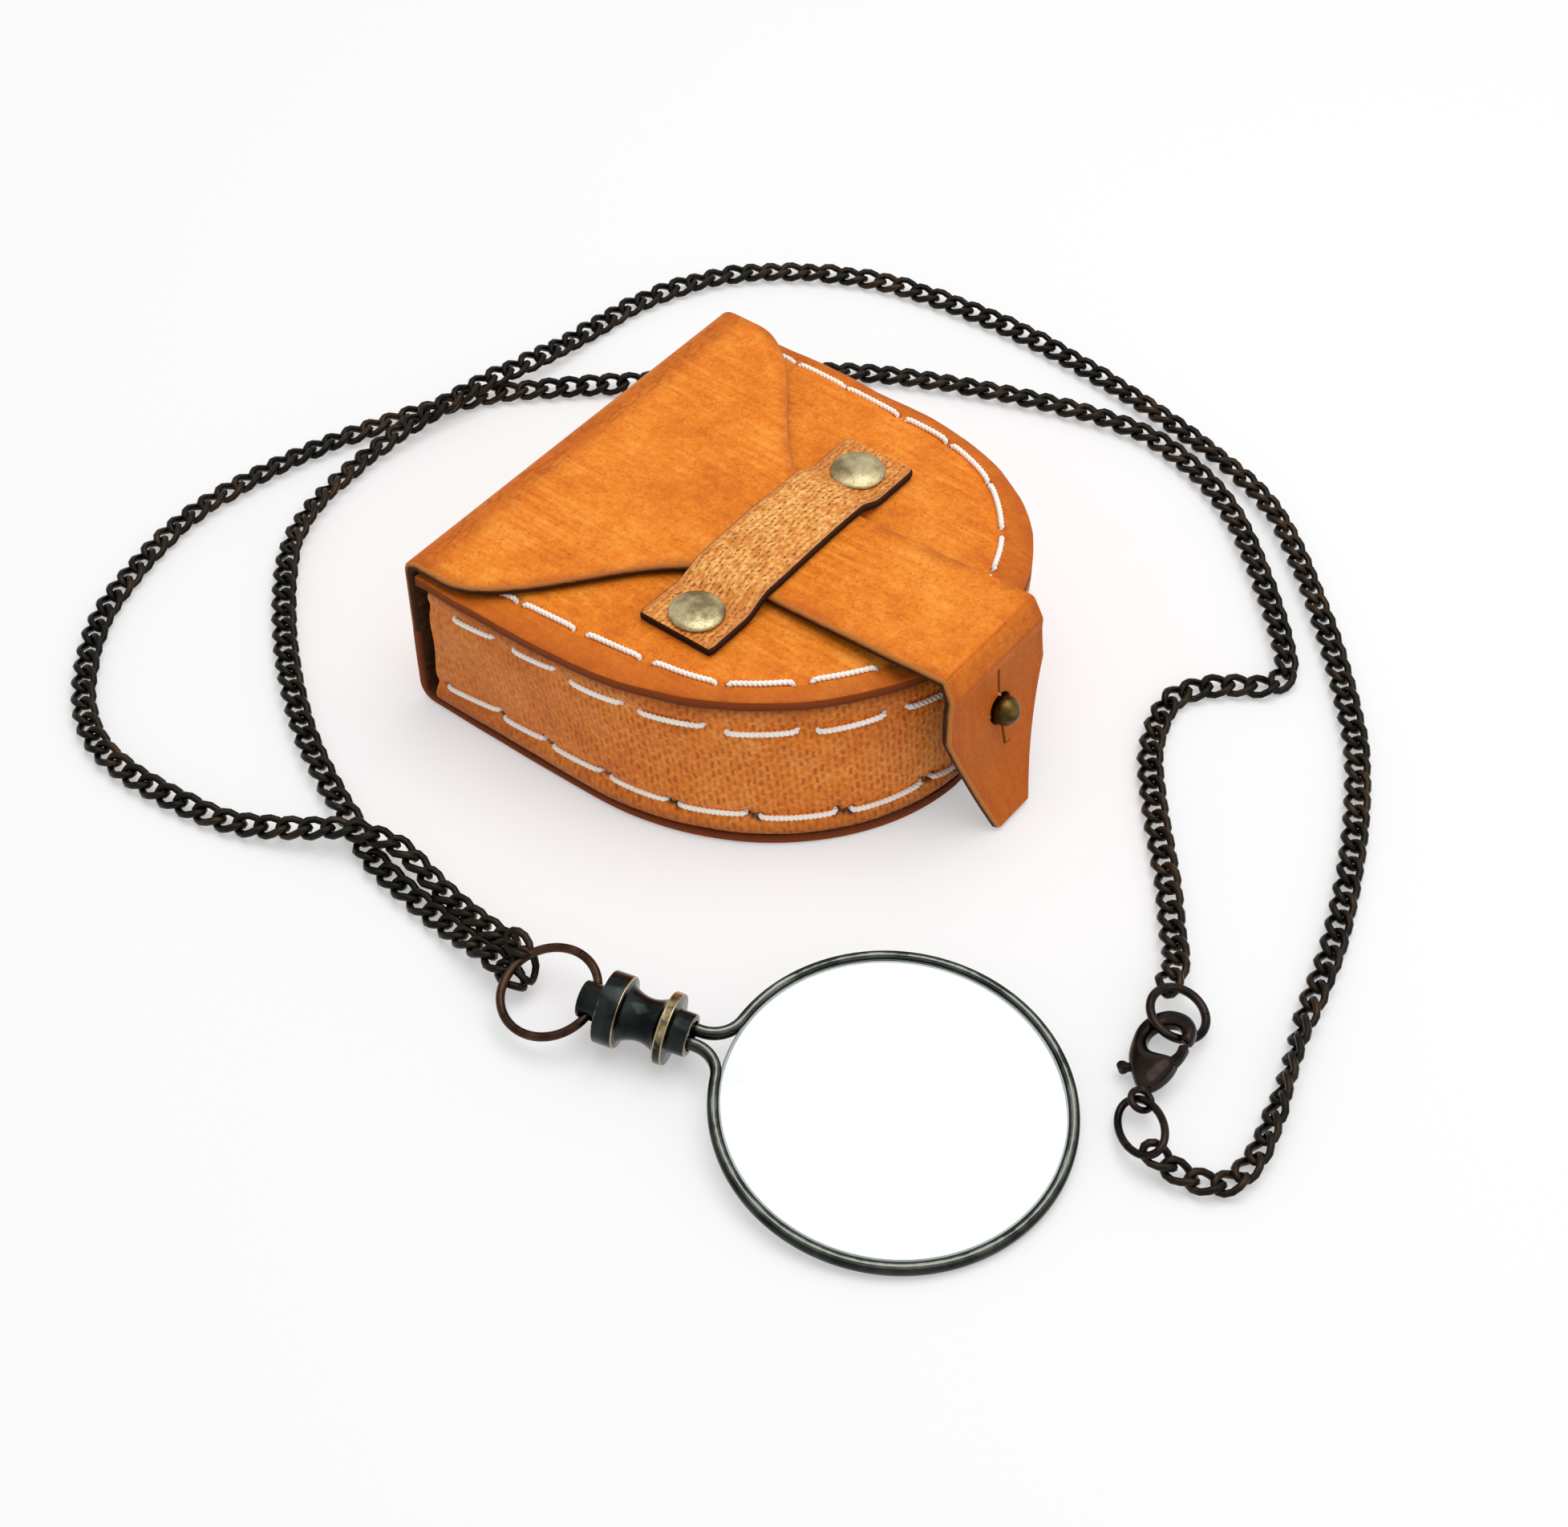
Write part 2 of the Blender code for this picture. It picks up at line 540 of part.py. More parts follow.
def lens_tilt():
    """Tilt that rests both the rim and the thin flange on the table, as a sine."""
    rise = THIN_FLANGE_RADIUS - RIM_WIRE_RADIUS
    reach = COLLAR_END + COLLAR_LENGTH + THIN_FLANGE_LENGTH / 2 - LENS_X
    roll = math.sin(math.radians(LENS_ROLL))
    a = reach * reach - RIM_RADIUS * RIM_RADIUS
    c = rise * rise - (RIM_RADIUS * roll) ** 2
    return (rise * reach - math.sqrt((rise * reach) ** 2 - a * c)) / a


def make_lens_frame():
    """Empty at the cross hole of the handle, its X along the handle, away from the lens."""
    tilt = lens_tilt()
    roll = math.sin(math.radians(LENS_ROLL))
    centre_z = TABLE_LIFT + RIM_WIRE_RADIUS + RIM_RADIUS * math.hypot(tilt, roll)
    pivot_z = centre_z - LENS_X * tilt
    rotation = (-LENS_ROLL, -math.degrees(math.asin(tilt)), LENS_HEADING)
    return add_empty("lens_pivot", (*PIVOT_SPOT, pivot_z), rotation)


def rim_path():
    """Centre line of the rim wire in the lens plane: tail, throat, circle, throat, tail."""
    throat_y = TAIL_Y + THROAT_RADIUS
    throat_x = math.sqrt((RIM_RADIUS + THROAT_RADIUS) ** 2 - throat_y ** 2)
    meet = math.atan2(throat_y, throat_x)
    tail_end = COLLAR_END - LENS_X + TAIL_LENGTH
    half = [(tail_end, TAIL_Y), ((tail_end + throat_x) / 2, TAIL_Y)]
    for i in range(7):
        turn = -math.pi / 2 - (math.pi / 2 - meet) * i / 6
        half.append((throat_x + THROAT_RADIUS * math.cos(turn), throat_y + THROAT_RADIUS * math.sin(turn)))
    arc_steps = 64
    circle = []
    for i in range(1, arc_steps):
        turn = meet + (math.tau - 2 * meet) * i / arc_steps
        circle.append((RIM_RADIUS * math.cos(turn), RIM_RADIUS * math.sin(turn)))
    back = [(x, -y) for x, y in reversed(half)]
    return [Vector((LENS_X + x, y, 0)) for x, y in half + circle + back]


def make_rim(frame):
    """Grooved wire bent round the glass, its two tails set in the handle."""
    edge = math.radians(RIM_GROOVE_ANGLE)
    section = [(RIM_GROOVE_FLOOR, 0)]
    for i in range(10):
        turn = edge + (math.tau - 2 * edge) * i / 9
        section.append((RIM_WIRE_RADIUS * math.cos(turn), RIM_WIRE_RADIUS * math.sin(turn)))
    path = rim_path()
    rings = []
    for i, point in enumerate(path):
        ahead = path[min(i + 1, len(path) - 1)] - path[max(i - 1, 0)]
        inward = Vector((-ahead.y, ahead.x, 0)).normalized()
        rings.append([point + n * inward + z * Vector((0, 0, 1)) for n, z in section])
    add_object("lens_rim", mesh_of(loft(rings), "lens_rim", 50), GUNMETAL, frame)


def make_glass(frame):
    """Biconvex glass with a bevelled edge that sits in the rim's groove."""
    edge = math.radians(RIM_GROOVE_ANGLE)
    groove = RIM_WIRE_RADIUS * math.sin(edge) / (RIM_WIRE_RADIUS * math.cos(edge) - RIM_GROOVE_FLOOR)
    edge_radius = RIM_RADIUS - RIM_GROOVE_FLOOR - FIT
    face_radius = edge_radius - GLASS_BEVEL
    land = GLASS_EDGE / 2 - GLASS_BEVEL * groove
    sag = (GLASS_CENTRE - GLASS_EDGE) / 2
    curve = (face_radius ** 2 + sag ** 2) / (2 * sag)
    face = []
    for i in range(8):
        radius = face_radius * i / 7
        face.append((GLASS_CENTRE / 2 - curve + math.sqrt(curve ** 2 - radius ** 2), radius))
    profile = face + [(land, edge_radius), (-land, edge_radius)] + [(-h, r) for h, r in reversed(face)]
    glass = add_object("lens_glass", mesh_of(turned(profile, 48), "lens_glass", 30), CLEAR_GLASS, frame)
    glass.location.x = LENS_X


def make_handle(frame):
    """Turned spool: stub with the cross hole, two flanges, waist and bored collar."""
    waist_start = FLANGE_FACE - FLANGE_LENGTH
    profile = [(STUB_LENGTH / 2, 0), (STUB_LENGTH / 2, STUB_RADIUS), (FLANGE_FACE, STUB_RADIUS),
               (FLANGE_FACE, FLANGE_RADIUS), (waist_start, FLANGE_RADIUS)]
    for i in range(9):
        share = i / 8
        flare = NECK_FLARE * (2 * share - 1) ** 2
        profile.append((waist_start - NECK_LENGTH * share, NECK_RADIUS + flare))
    thin = waist_start - NECK_LENGTH
    collar = thin - THIN_FLANGE_LENGTH
    floor = COLLAR_END + BORE_DEPTH
    profile += [(thin, THIN_FLANGE_RADIUS), (collar, THIN_FLANGE_RADIUS), (collar, COLLAR_RADIUS),
                (COLLAR_END, COLLAR_RADIUS), (COLLAR_END, BORE_RADIUS), (floor, BORE_RADIUS), (floor, 0)]
    spool = add_object("handle_spool", mesh_of(turned(profile), "handle_spool", 35), BLACK_BRASS, frame)
    spool.rotation_euler.y = math.radians(90)
    drill(spool, CROSS_HOLE_RADIUS, STUB_RADIUS * 3, (0, 0, 0), (90 - CROSS_HOLE_ROLL, 0, 0), frame)
    radius = BORE_RADIUS - FIT
    end = floor - FIT
    start = end - SOLDER_LENGTH
    profile = [(start, 0), (start, radius), (end, radius), (end, 0)]
    solder = add_object("solder_fill", mesh_of(turned(profile, 20), "solder_fill", 40), SOLDER, frame)
    solder.rotation_euler.y = math.radians(90)


def make_ring(lens_frame):
    """Wire ring through the cross hole, dipping from the handle to the table."""
    frame = add_empty("ring_frame", (0, 0, 0), (-CROSS_HOLE_ROLL, RING_DIP, 0), lens_frame)
    sagitta = STUB_RADIUS ** 2 / (2 * RING_RADIUS)
    shape = wire_loop(RING_RADIUS, RING_RADIUS, RING_WIRE_RADIUS, 40)
    ring = add_object("bail_ring", mesh_of(shape, "bail_ring", 60), BROWN_COPPER, frame)
    ring.location.x = RING_RADIUS - sagitta / 2
    bpy.context.view_layer.update()
    turn = math.radians(MIDDLE_LINK_TURN)
    spot = (RING_RADIUS * math.cos(turn), RING_RADIUS * math.sin(turn), 0)
    chain_link("middle_link", ring.matrix_world, spot, MIDDLE_LINK_HEADING)


def smooth_route(points):
    """Points on a smooth curve through the route's own points, closer together in its bends."""
    path = [Vector(point) for point in points]
    path = [2 * path[0] - path[1]] + path + [2 * path[-1] - path[-2]]
    dense = []
    for a, b, c, d in zip(path, path[1:], path[2:], path[3:]):
        for i in range(12):
            t = i / 12
            dense.append(0.5 * (2 * b + (c - a) * t + (2 * a - 5 * b + 4 * c - d) * t ** 2
                                + (3 * b - a - 3 * c + d) * t ** 3))
    dense.append(path[-2])
    for point in dense:
        point.z = max(point.z, LINK_WIDTH / 2)
    lengths = [0.0]
    last = dense[1] - dense[0]
    for a, b in zip(dense, dense[1:]):
        lengths.append(lengths[-1] + (b - a).length + BEND_REACH * last.angle(b - a))
        last = b - a
    count = max(round(lengths[-1] / STRAND_STEP), 2)
    result = []
    k = 0
    for i in range(count + 1):
        target = lengths[-1] * i / count
        while k < len(dense) - 2 and lengths[k + 1] < target:
            k += 1
        share = (target - lengths[k]) / (lengths[k + 1] - lengths[k])
        result.append(dense[k].lerp(dense[k + 1], share))
    return result


def make_strand(name, route):
    """A run of chain as one tube as wide as its links."""
    points = smooth_route(route)
    curve = bpy.data.curves.new(name, "CURVE")
    curve.dimensions = "3D"
    curve.bevel_depth = LINK_WIDTH / 2
    curve.bevel_resolution = 2
    curve.use_fill_caps = True
    spline = curve.splines.new("POLY")
    spline.points.add(len(points) - 1)
    for spot, point in zip(spline.points, points):
        spot.co = (*point, 1)
    add_object(name, curve, CHAIN_BRONZE)


def make_clasp_frame():
    return add_empty("clasp_frame", (*CLASP_SPOT, CLASP_HEIGHT), (0, -CLASP_ROLL, CLASP_HEADING))


def make_clasp_body(frame):
    """Hook and hollow body of the clasp, with its eyelet; X across, Y towards the hook."""
    hook = [(0.0010, 0.0024), (0.0026, 0.0044), (0.0033, 0.0066), (0.0027, 0.0083), (0.0015, 0.0090),
            (-0.0007, 0.0096), (-0.0018, 0.0108), (-0.0021, 0.0123), (-0.0014, 0.0141), (0.0004, 0.0151),
            (0.0019, 0.0149), (0.0028, 0.0140), (0.0031, 0.0127), (0.0043, 0.0123), (0.0046, 0.0137),
            (0.0041, 0.0153), (0.0026, 0.0165), (0.0002, 0.0169), (-0.0022, 0.0158), (-0.0037, 0.0134),
            (-0.0040, 0.0105), (-0.0037, 0.0076), (-0.0026, 0.0049), (-0.0010, 0.0024)]
    belly = hook[:6] + hook[-4:]
    half = HOOK_THICKNESS / 2
    body = add_object("clasp_body", mesh_of(prism(hook, -half, half), "clasp_body", 35), BLACK_BRASS, frame)
    half = CLASP_THICKNESS / 2
    bulge = add_object("join_belly", mesh_of(prism(belly, -half, half), "belly"), parent=frame)
    boolean(body, bulge, "UNION")
    stem = EYELET_WIRE_RADIUS
    outline = [(-stem, EYELET_RADIUS), (stem, EYELET_RADIUS), (stem, SLOT_FLOOR * 0.9), (-stem, SLOT_FLOOR * 0.9)]
    neck = add_object("join_neck", mesh_of(prism(outline, -stem, stem), "neck"), parent=frame)
    boolean(body, neck, "UNION")
    shape = wire_loop(EYELET_RADIUS, EYELET_RADIUS, EYELET_WIRE_RADIUS, 24)
    eyelet = add_object("join_eyelet", mesh_of(shape, "eyelet"), parent=frame)
    eyelet.rotation_euler.y = math.radians(90 + EYELET_TILT)
    boolean(body, eyelet, "UNION")
    reach = 0.006
    outline = [(-reach, SLOT_FLOOR), (reach, SLOT_FLOOR), (reach, SLOT_TOP), (-reach, SLOT_TOP)]
    slot = add_object("cut_slot", mesh_of(prism(outline, -SLOT_HEIGHT / 2, SLOT_HEIGHT / 2), "slot"), parent=frame)
    boolean(body, slot)
    drill(body, PIN_RADIUS + FIT, CLASP_THICKNESS * 2, (*LEVER_PIVOT, 0), (0, 0, 0), frame)


def make_clasp_lever(frame):
    """Sprung lever that closes the hook, its thumb knob out on the other side."""
    pivot = add_empty("lever_pivot", (*LEVER_PIVOT, 0), (0, 0, 0), frame)
    outline = [(0.0030, 0.0115), (0.0042, 0.0116), (0.0042, 0.0098), (0.0037, 0.0074), (0.0025, 0.0054),
               (0.0010, 0.0050), (-0.0033, 0.0050), (-0.0049, 0.0050), (-0.0052, 0.0056), (-0.0049, 0.0062),
               (-0.0033, 0.0060), (-0.0006, 0.0064), (0.0010, 0.0074), (0.0021, 0.0085), (0.0027, 0.0100)]
    px, py = LEVER_PIVOT
    local = [(x - px, y - py) for x, y in outline]
    half = LEVER_THICKNESS / 2
    lever = add_object("clasp_lever", mesh_of(prism(local, -half, half), "clasp_lever", 35), BLACK_BRASS, pivot)
    drill(lever, PIN_RADIUS + FIT, LEVER_THICKNESS * 3, (0, 0, 0), (0, 0, 0), pivot)
    half = CLASP_THICKNESS / 2
    profile = [(-half, 0), (-half, PIN_RADIUS), (half, PIN_RADIUS), (half, 0)]
    add_object("clasp_pin", mesh_of(turned(profile, 16), "clasp_pin", 40), BLACK_BRASS, pivot)


def make_clasp_spring(frame):
    """Coil that pushes the lever's arm back."""
    curve = bpy.data.curves.new("clasp_spring", "CURVE")
    curve.dimensions = "3D"
    curve.bevel_depth = SPRING_WIRE_RADIUS
    curve.bevel_resolution = 0
    curve.use_fill_caps = True
    count = SPRING_TURNS * 8
    spline = curve.splines.new("POLY")
    spline.points.add(count)
    start = SLOT_FLOOR + FIT
    for i, spot in enumerate(spline.points):
        turn = math.tau * SPRING_TURNS * i / count
        spot.co = (SPRING_X + SPRING_RADIUS * math.cos(turn), start + SPRING_LENGTH * i / count,
                   SPRING_RADIUS * math.sin(turn), 1)
    add_object("clasp_spring", curve, GUNMETAL, frame)


def make_jump_rings(frame):
    """Round ring in the hook and oval ring in the eyelet, each with the chain's end link."""
    shape = wire_loop(UPPER_JUMP_RADIUS, UPPER_JUMP_RADIUS, JUMP_WIRE_RADIUS)
    upper = add_object("upper_jump_ring", mesh_of(shape, "upper_jump_ring", 60), BLACK_BRASS, frame)
    upper.location = (*UPPER_JUMP_SPOT, 0)
    upper.rotation_euler.y = math.radians(UPPER_JUMP_TILT)
    rest = add_empty("lower_ring_frame", (*CLASP_SPOT, CLASP_HEIGHT),
                     (LOWER_JUMP_DIP, LOWER_JUMP_ROLL, CLASP_HEADING + LOWER_JUMP_YAW))
    shape = wire_loop(LOWER_JUMP_WIDTH / 2, LOWER_JUMP_LENGTH / 2, JUMP_WIRE_RADIUS)
    lower = add_object("lower_jump_ring", mesh_of(shape, "lower_jump_ring", 60), BLACK_BRASS, rest)
    lower.location.y = -LOWER_JUMP_LENGTH / 2
    bpy.context.view_layer.update()
    turn = math.radians(UPPER_END_TURN)
    spot = (UPPER_JUMP_RADIUS * math.cos(turn), UPPER_JUMP_RADIUS * math.sin(turn), 0)
    chain_link("upper_end_link", upper.matrix_world, spot, UPPER_END_HEADING)
    turn = math.radians(LOWER_END_TURN)
    spot = (LOWER_JUMP_WIDTH / 2 * math.cos(turn), LOWER_JUMP_LENGTH / 2 * math.sin(turn), 0)
    chain_link("lower_end_link", lower.matrix_world, spot, LOWER_END_HEADING)


def main():
    clear_scene()
    make_back_panel()
    make_front_panel()
    make_gusset()
    spine_fold = make_spine()
    flap_fold = make_flap(spine_fold)
    make_tab(flap_fold)
    make_keeper()
    make_rivet("near", -1)
    make_rivet("far", 1)
    make_stud()
    lens_frame = make_lens_frame()
    make_rim(lens_frame)
    make_glass(lens_frame)
    make_handle(lens_frame)
    make_ring(lens_frame)
    make_strand("chain_left", LEFT_ROUTE)
    make_strand("chain_right", RIGHT_ROUTE)
    clasp_frame = make_clasp_frame()
    make_clasp_body(clasp_frame)
    make_clasp_lever(clasp_frame)
    make_clasp_spring(clasp_frame)
    make_jump_rings(clasp_frame)


main()
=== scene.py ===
import math
import random

import bmesh
import bpy
import numpy as np
from mathutils import Euler, Matrix, Vector


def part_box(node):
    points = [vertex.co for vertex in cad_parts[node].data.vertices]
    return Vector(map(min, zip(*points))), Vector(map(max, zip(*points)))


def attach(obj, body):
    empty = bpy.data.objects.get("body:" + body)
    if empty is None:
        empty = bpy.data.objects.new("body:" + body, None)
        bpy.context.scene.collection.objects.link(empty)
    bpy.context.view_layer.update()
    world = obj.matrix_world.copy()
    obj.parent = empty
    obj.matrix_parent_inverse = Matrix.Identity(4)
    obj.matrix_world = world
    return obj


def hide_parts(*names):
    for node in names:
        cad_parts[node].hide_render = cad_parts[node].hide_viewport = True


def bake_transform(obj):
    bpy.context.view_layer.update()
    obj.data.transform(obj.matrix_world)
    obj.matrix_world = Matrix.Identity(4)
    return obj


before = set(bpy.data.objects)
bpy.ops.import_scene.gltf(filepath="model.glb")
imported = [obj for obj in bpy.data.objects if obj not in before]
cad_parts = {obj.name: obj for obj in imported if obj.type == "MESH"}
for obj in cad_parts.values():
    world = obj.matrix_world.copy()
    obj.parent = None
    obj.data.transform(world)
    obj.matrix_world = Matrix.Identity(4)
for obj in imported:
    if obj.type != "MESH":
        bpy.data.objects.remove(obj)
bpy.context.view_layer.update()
mm = 0.001
print("frame loaded,", len(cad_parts), "solids")

# The photograph's camera
photoView = {
    "place": (194.15 * mm, -246.59 * mm, 316.91 * mm),
    "lens": 63.2,
    "sensor": 36.0,
    "lookDown": 47.235,
    "turn": 37.813,
}


def makeCamera():
    down = math.radians(photoView["lookDown"])
    turn = math.radians(photoView["turn"])
    back = Vector((math.sin(turn) * math.cos(down), -math.cos(turn) * math.cos(down), math.sin(down)))
    right = Vector((math.cos(turn), math.sin(turn), 0))
    data = bpy.data.cameras.new("photoCamera")
    data.lens = photoView["lens"]
    data.sensor_width = photoView["sensor"]
    data.clip_start = 0.01
    camera = bpy.data.objects.new("photoCamera", data)
    bpy.context.scene.collection.objects.link(camera)
    axes = Matrix((right, back.cross(right), back)).transposed()
    camera.matrix_world = Matrix.Translation(photoView["place"]) @ axes.to_4x4()
    bpy.context.scene.camera = camera


# Node trees: one maker for every node, and sums written as Python
class Wire:
    def __init__(self, maker, socket):
        self.maker = maker
        self.socket = socket

    def sum(self, operation, first, second=0.0):
        return self.maker.node("ShaderNodeMath", {"operation": operation}, {0: first, 1: second})

    def __add__(self, other):
        return self.sum("ADD", self, other)

    __radd__ = __add__

    def __sub__(self, other):
        return self.sum("SUBTRACT", self, other)

    def __rsub__(self, other):
        return self.sum("SUBTRACT", other, self)

    def __mul__(self, other):
        return self.sum("MULTIPLY", self, other)

    __rmul__ = __mul__

    def __truediv__(self, other):
        return self.sum("DIVIDE", self, other)

    def __rtruediv__(self, other):
        return self.sum("DIVIDE", other, self)

    def __pow__(self, other):
        return self.sum("POWER", self, other)

    def least(self, other):
        return self.sum("MINIMUM", self, other)

    def most(self, other):
        return self.sum("MAXIMUM", self, other)

    def cosine(self):
        return self.sum("COSINE", self)

    def sine(self):
        return self.sum("SINE", self)

    def floor(self):
        return self.sum("FLOOR", self)

    def fract(self):
        return self.sum("FRACT", self)

    def size(self):
        return self.sum("ABSOLUTE", self)

    def step(self, low, high):  # 0 below low, 1 above high, smooth between
        return self.maker.node("ShaderNodeMapRange", {"interpolation_type": "SMOOTHSTEP"},
                               {0: self, 1: low, 2: high})


class NodeMaker:
    def __init__(self, tree):
        self.tree = tree

    def node(self, kind, settings=None, inputs=None, output=0):
        made = self.tree.nodes.new(kind)
        for key, value in (settings or {}).items():
            if key == "stops":
                self.setStops(made.color_ramp, value)
            else:
                setattr(made, key, value)
        for key, value in (inputs or {}).items():
            if isinstance(value, Wire):
                self.tree.links.new(value.socket, made.inputs[key])
            else:
                made.inputs[key].default_value = value
        return Wire(self, made.outputs[output])

    def part(self, vector, index):
        return self.node("ShaderNodeSeparateXYZ", {}, {0: vector}, output=index)

    def setStops(self, ramp, stops):
        while len(ramp.elements) < len(stops):
            ramp.elements.new(1.0)
        for element, (place, colour) in zip(ramp.elements, stops):
            element.position = place
            element.color = (*colour, 1.0)


class Finish(NodeMaker):
    def __init__(self, name, **constants):
        self.material = bpy.data.materials.new(name)
        self.material.use_nodes = True
        super().__init__(self.material.node_tree)
        self.shader = self.tree.nodes["Principled BSDF"]
        for key, value in constants.items():
            self.shader.inputs[key.replace("_", " ")].default_value = value

    def attribute(self, name, output="Fac"):
        return self.node("ShaderNodeAttribute", {"attribute_name": name}, output=output)

    def place(self):
        return self.node("ShaderNodeTexCoord", output="Object")

    def stretch(self, where, scale, turn=0.0):
        return self.node("ShaderNodeMapping", {},
                         {"Vector": where, "Scale": scale, "Rotation": (0, 0, turn)})

    def noise(self, where, scale, detail=2.0, rough=0.5):
        return self.node("ShaderNodeTexNoise", {},
                         {"Vector": where, "Scale": scale, "Detail": detail, "Roughness": rough})

    def cells(self, where, scale, feature="F1"):
        return self.node("ShaderNodeTexVoronoi", {"feature": feature}, {"Vector": where, "Scale": scale})

    def cracks(self, where, scale):
        return self.cells(where, scale, "DISTANCE_TO_EDGE")

    def dashes(self, across, along, pitch, length, width=0.21):
        # boarded grain: short creases in staggered columns, no two alike
        column = across / pitch
        index = column.floor()
        shift = self.node("ShaderNodeTexWhiteNoise", {"noise_dimensions": "1D"}, {"W": index})
        row = along / length + index * 0.5 + shift * 0.35
        pair = self.node("ShaderNodeCombineXYZ", {}, {0: index, 1: row.floor()})
        deep = self.node("ShaderNodeTexWhiteNoise", {"noise_dimensions": "2D"}, {"Vector": pair})
        side = (column.fract() - 0.5).size().step(width / 4, width)
        end = (row.fract() - 0.5).size().step(0.22, 0.44)
        return (1.0 - side) * (1.0 - end) * (0.30 + 0.70 * deep)

    def ramp(self, factor, stops):
        return self.node("ShaderNodeValToRGB", {"stops": stops}, {"Fac": factor})

    def mix(self, factor, first, second):
        first = first if isinstance(first, Wire) else (*first, 1.0)
        second = second if isinstance(second, Wire) else (*second, 1.0)
        return self.node("ShaderNodeMix", {"data_type": "RGBA"},
                         {0: factor, 6: first, 7: second}, output=2)

    def feed(self, socketName, wire):
        self.tree.links.new(wire.socket, self.shader.inputs[socketName])

    def bump(self, height, strength, distance):
        raised = self.node("ShaderNodeBump", {},
                           {"Strength": strength, "Distance": distance, "Height": height})
        self.feed("Normal", raised)


class GeometryTree(NodeMaker):
    def __init__(self, name, sizes):
        tree = bpy.data.node_groups.new(name, "GeometryNodeTree")
        super().__init__(tree)
        tree.interface.new_socket("Geometry", in_out="INPUT", socket_type="NodeSocketGeometry")
        tree.interface.new_socket("Geometry", in_out="OUTPUT", socket_type="NodeSocketGeometry")
        self.keys = {}
        for key, value in sizes.items():
            kind = "NodeSocketInt" if isinstance(value, int) else "NodeSocketFloat"
            self.keys[key] = tree.interface.new_socket(key, in_out="INPUT", socket_type=kind).identifier
        self.sizes = sizes
        self.start = tree.nodes.new("NodeGroupInput")
        self.end = tree.nodes.new("NodeGroupOutput")

    def size(self, key):
        return Wire(self, self.start.outputs[key])

    def source(self):
        return Wire(self, self.start.outputs["Geometry"])

    def close(self, geometry, finish):
        whole = self.node("GeometryNodeRealizeInstances", {}, {0: geometry})
        smooth = self.node("GeometryNodeSetShadeSmooth", {}, {0: whole})
        dressed = self.node("GeometryNodeSetMaterial", {},
                            {"Geometry": smooth, "Material": finish.material})
        self.tree.links.new(dressed.socket, self.end.inputs["Geometry"])

    def run(self, name, carrier):
        modifier = carrier.modifiers.new(name, "NODES")
        modifier.node_group = self.tree
        for key, value in self.sizes.items():
            modifier[self.keys[key]] = value
        mesh = evaluatedMesh(carrier)
        bpy.data.objects.remove(carrier)
        return linkPiece(name, mesh)


# Mesh helpers
def linkPiece(name, data):
    piece = bpy.data.objects.new(name, data)
    data.name = name
    bpy.context.scene.collection.objects.link(piece)
    return piece


def evaluatedMesh(piece):
    return bpy.data.meshes.new_from_object(piece.evaluated_get(bpy.context.evaluated_depsgraph_get()))


def shapePiece(name, shape):  # an object from a bmesh, which is freed
    mesh = bpy.data.meshes.new(name)
    shape.to_mesh(mesh)
    shape.free()
    return linkPiece(name, mesh)


def placed(place, turn):  # a frame at a place, turned by degrees about X, Y and Z
    angles = [math.radians(angle) for angle in turn]
    return Matrix.Translation(place) @ Euler(angles).to_matrix().to_4x4()


def polyCurve(name, lines, tilts=()):
    curve = bpy.data.curves.new(name, "CURVE")
    curve.dimensions = "3D"
    for line in lines:
        spline = curve.splines.new("POLY")
        spline.points.add(len(line) - 1)
        for spot, point in zip(spline.points, line):
            spot.co = (*point, 1)
    for spline, row in zip(curve.splines, tilts):
        spline.points.foreach_set("tilt", row)
    return linkPiece(name, curve)


def smoothLine(points, steps):  # a smooth curve through the points
    path = [Vector(point) for point in points]
    path = [2 * path[0] - path[1]] + path + [2 * path[-1] - path[-2]]
    dense = []
    for a, b, c, d in zip(path, path[1:], path[2:], path[3:]):
        for i in range(steps):
            t = i / steps
            dense.append(0.5 * (2 * b + (c - a) * t + (2 * a - 5 * b + 4 * c - d) * t ** 2
                                + (3 * b - a - 3 * c + d) * t ** 3))
    dense.append(path[-2])
    return dense


def lengthsOf(line):
    lengths = [0.0]
    for a, b in zip(line, line[1:]):
        lengths.append(lengths[-1] + (Vector(b) - Vector(a)).length)
    return lengths


def hump(s, place, reach):  # 1 at the place, falling off smoothly to both sides
    return np.exp(-((s - place) / reach) ** 2)


makeCamera()

# Leather case: sizes that several pieces share
case = {
    "spineX": -38.5 * mm,
    "noseX": 38.5 * mm,
    "halfWidth": 39.0 * mm,
    "noseLength": 44.0 * mm,
    "depth": 28.0 * mm,
    "foldX": -40.8 * mm,
    "coverTop": 30.3 * mm,
    "lean": 0.15,
    "leanStart": -9.0 * mm,
    "leanBlend": 8.0 * mm,
    "wallInset": 0.6 * mm,
}


def panelDrift(x):  # the soft case stands a little askew towards +Y
    ahead = x - case["leanStart"]
    return case["lean"] * (ahead + np.hypot(ahead, case["leanBlend"])) / 2


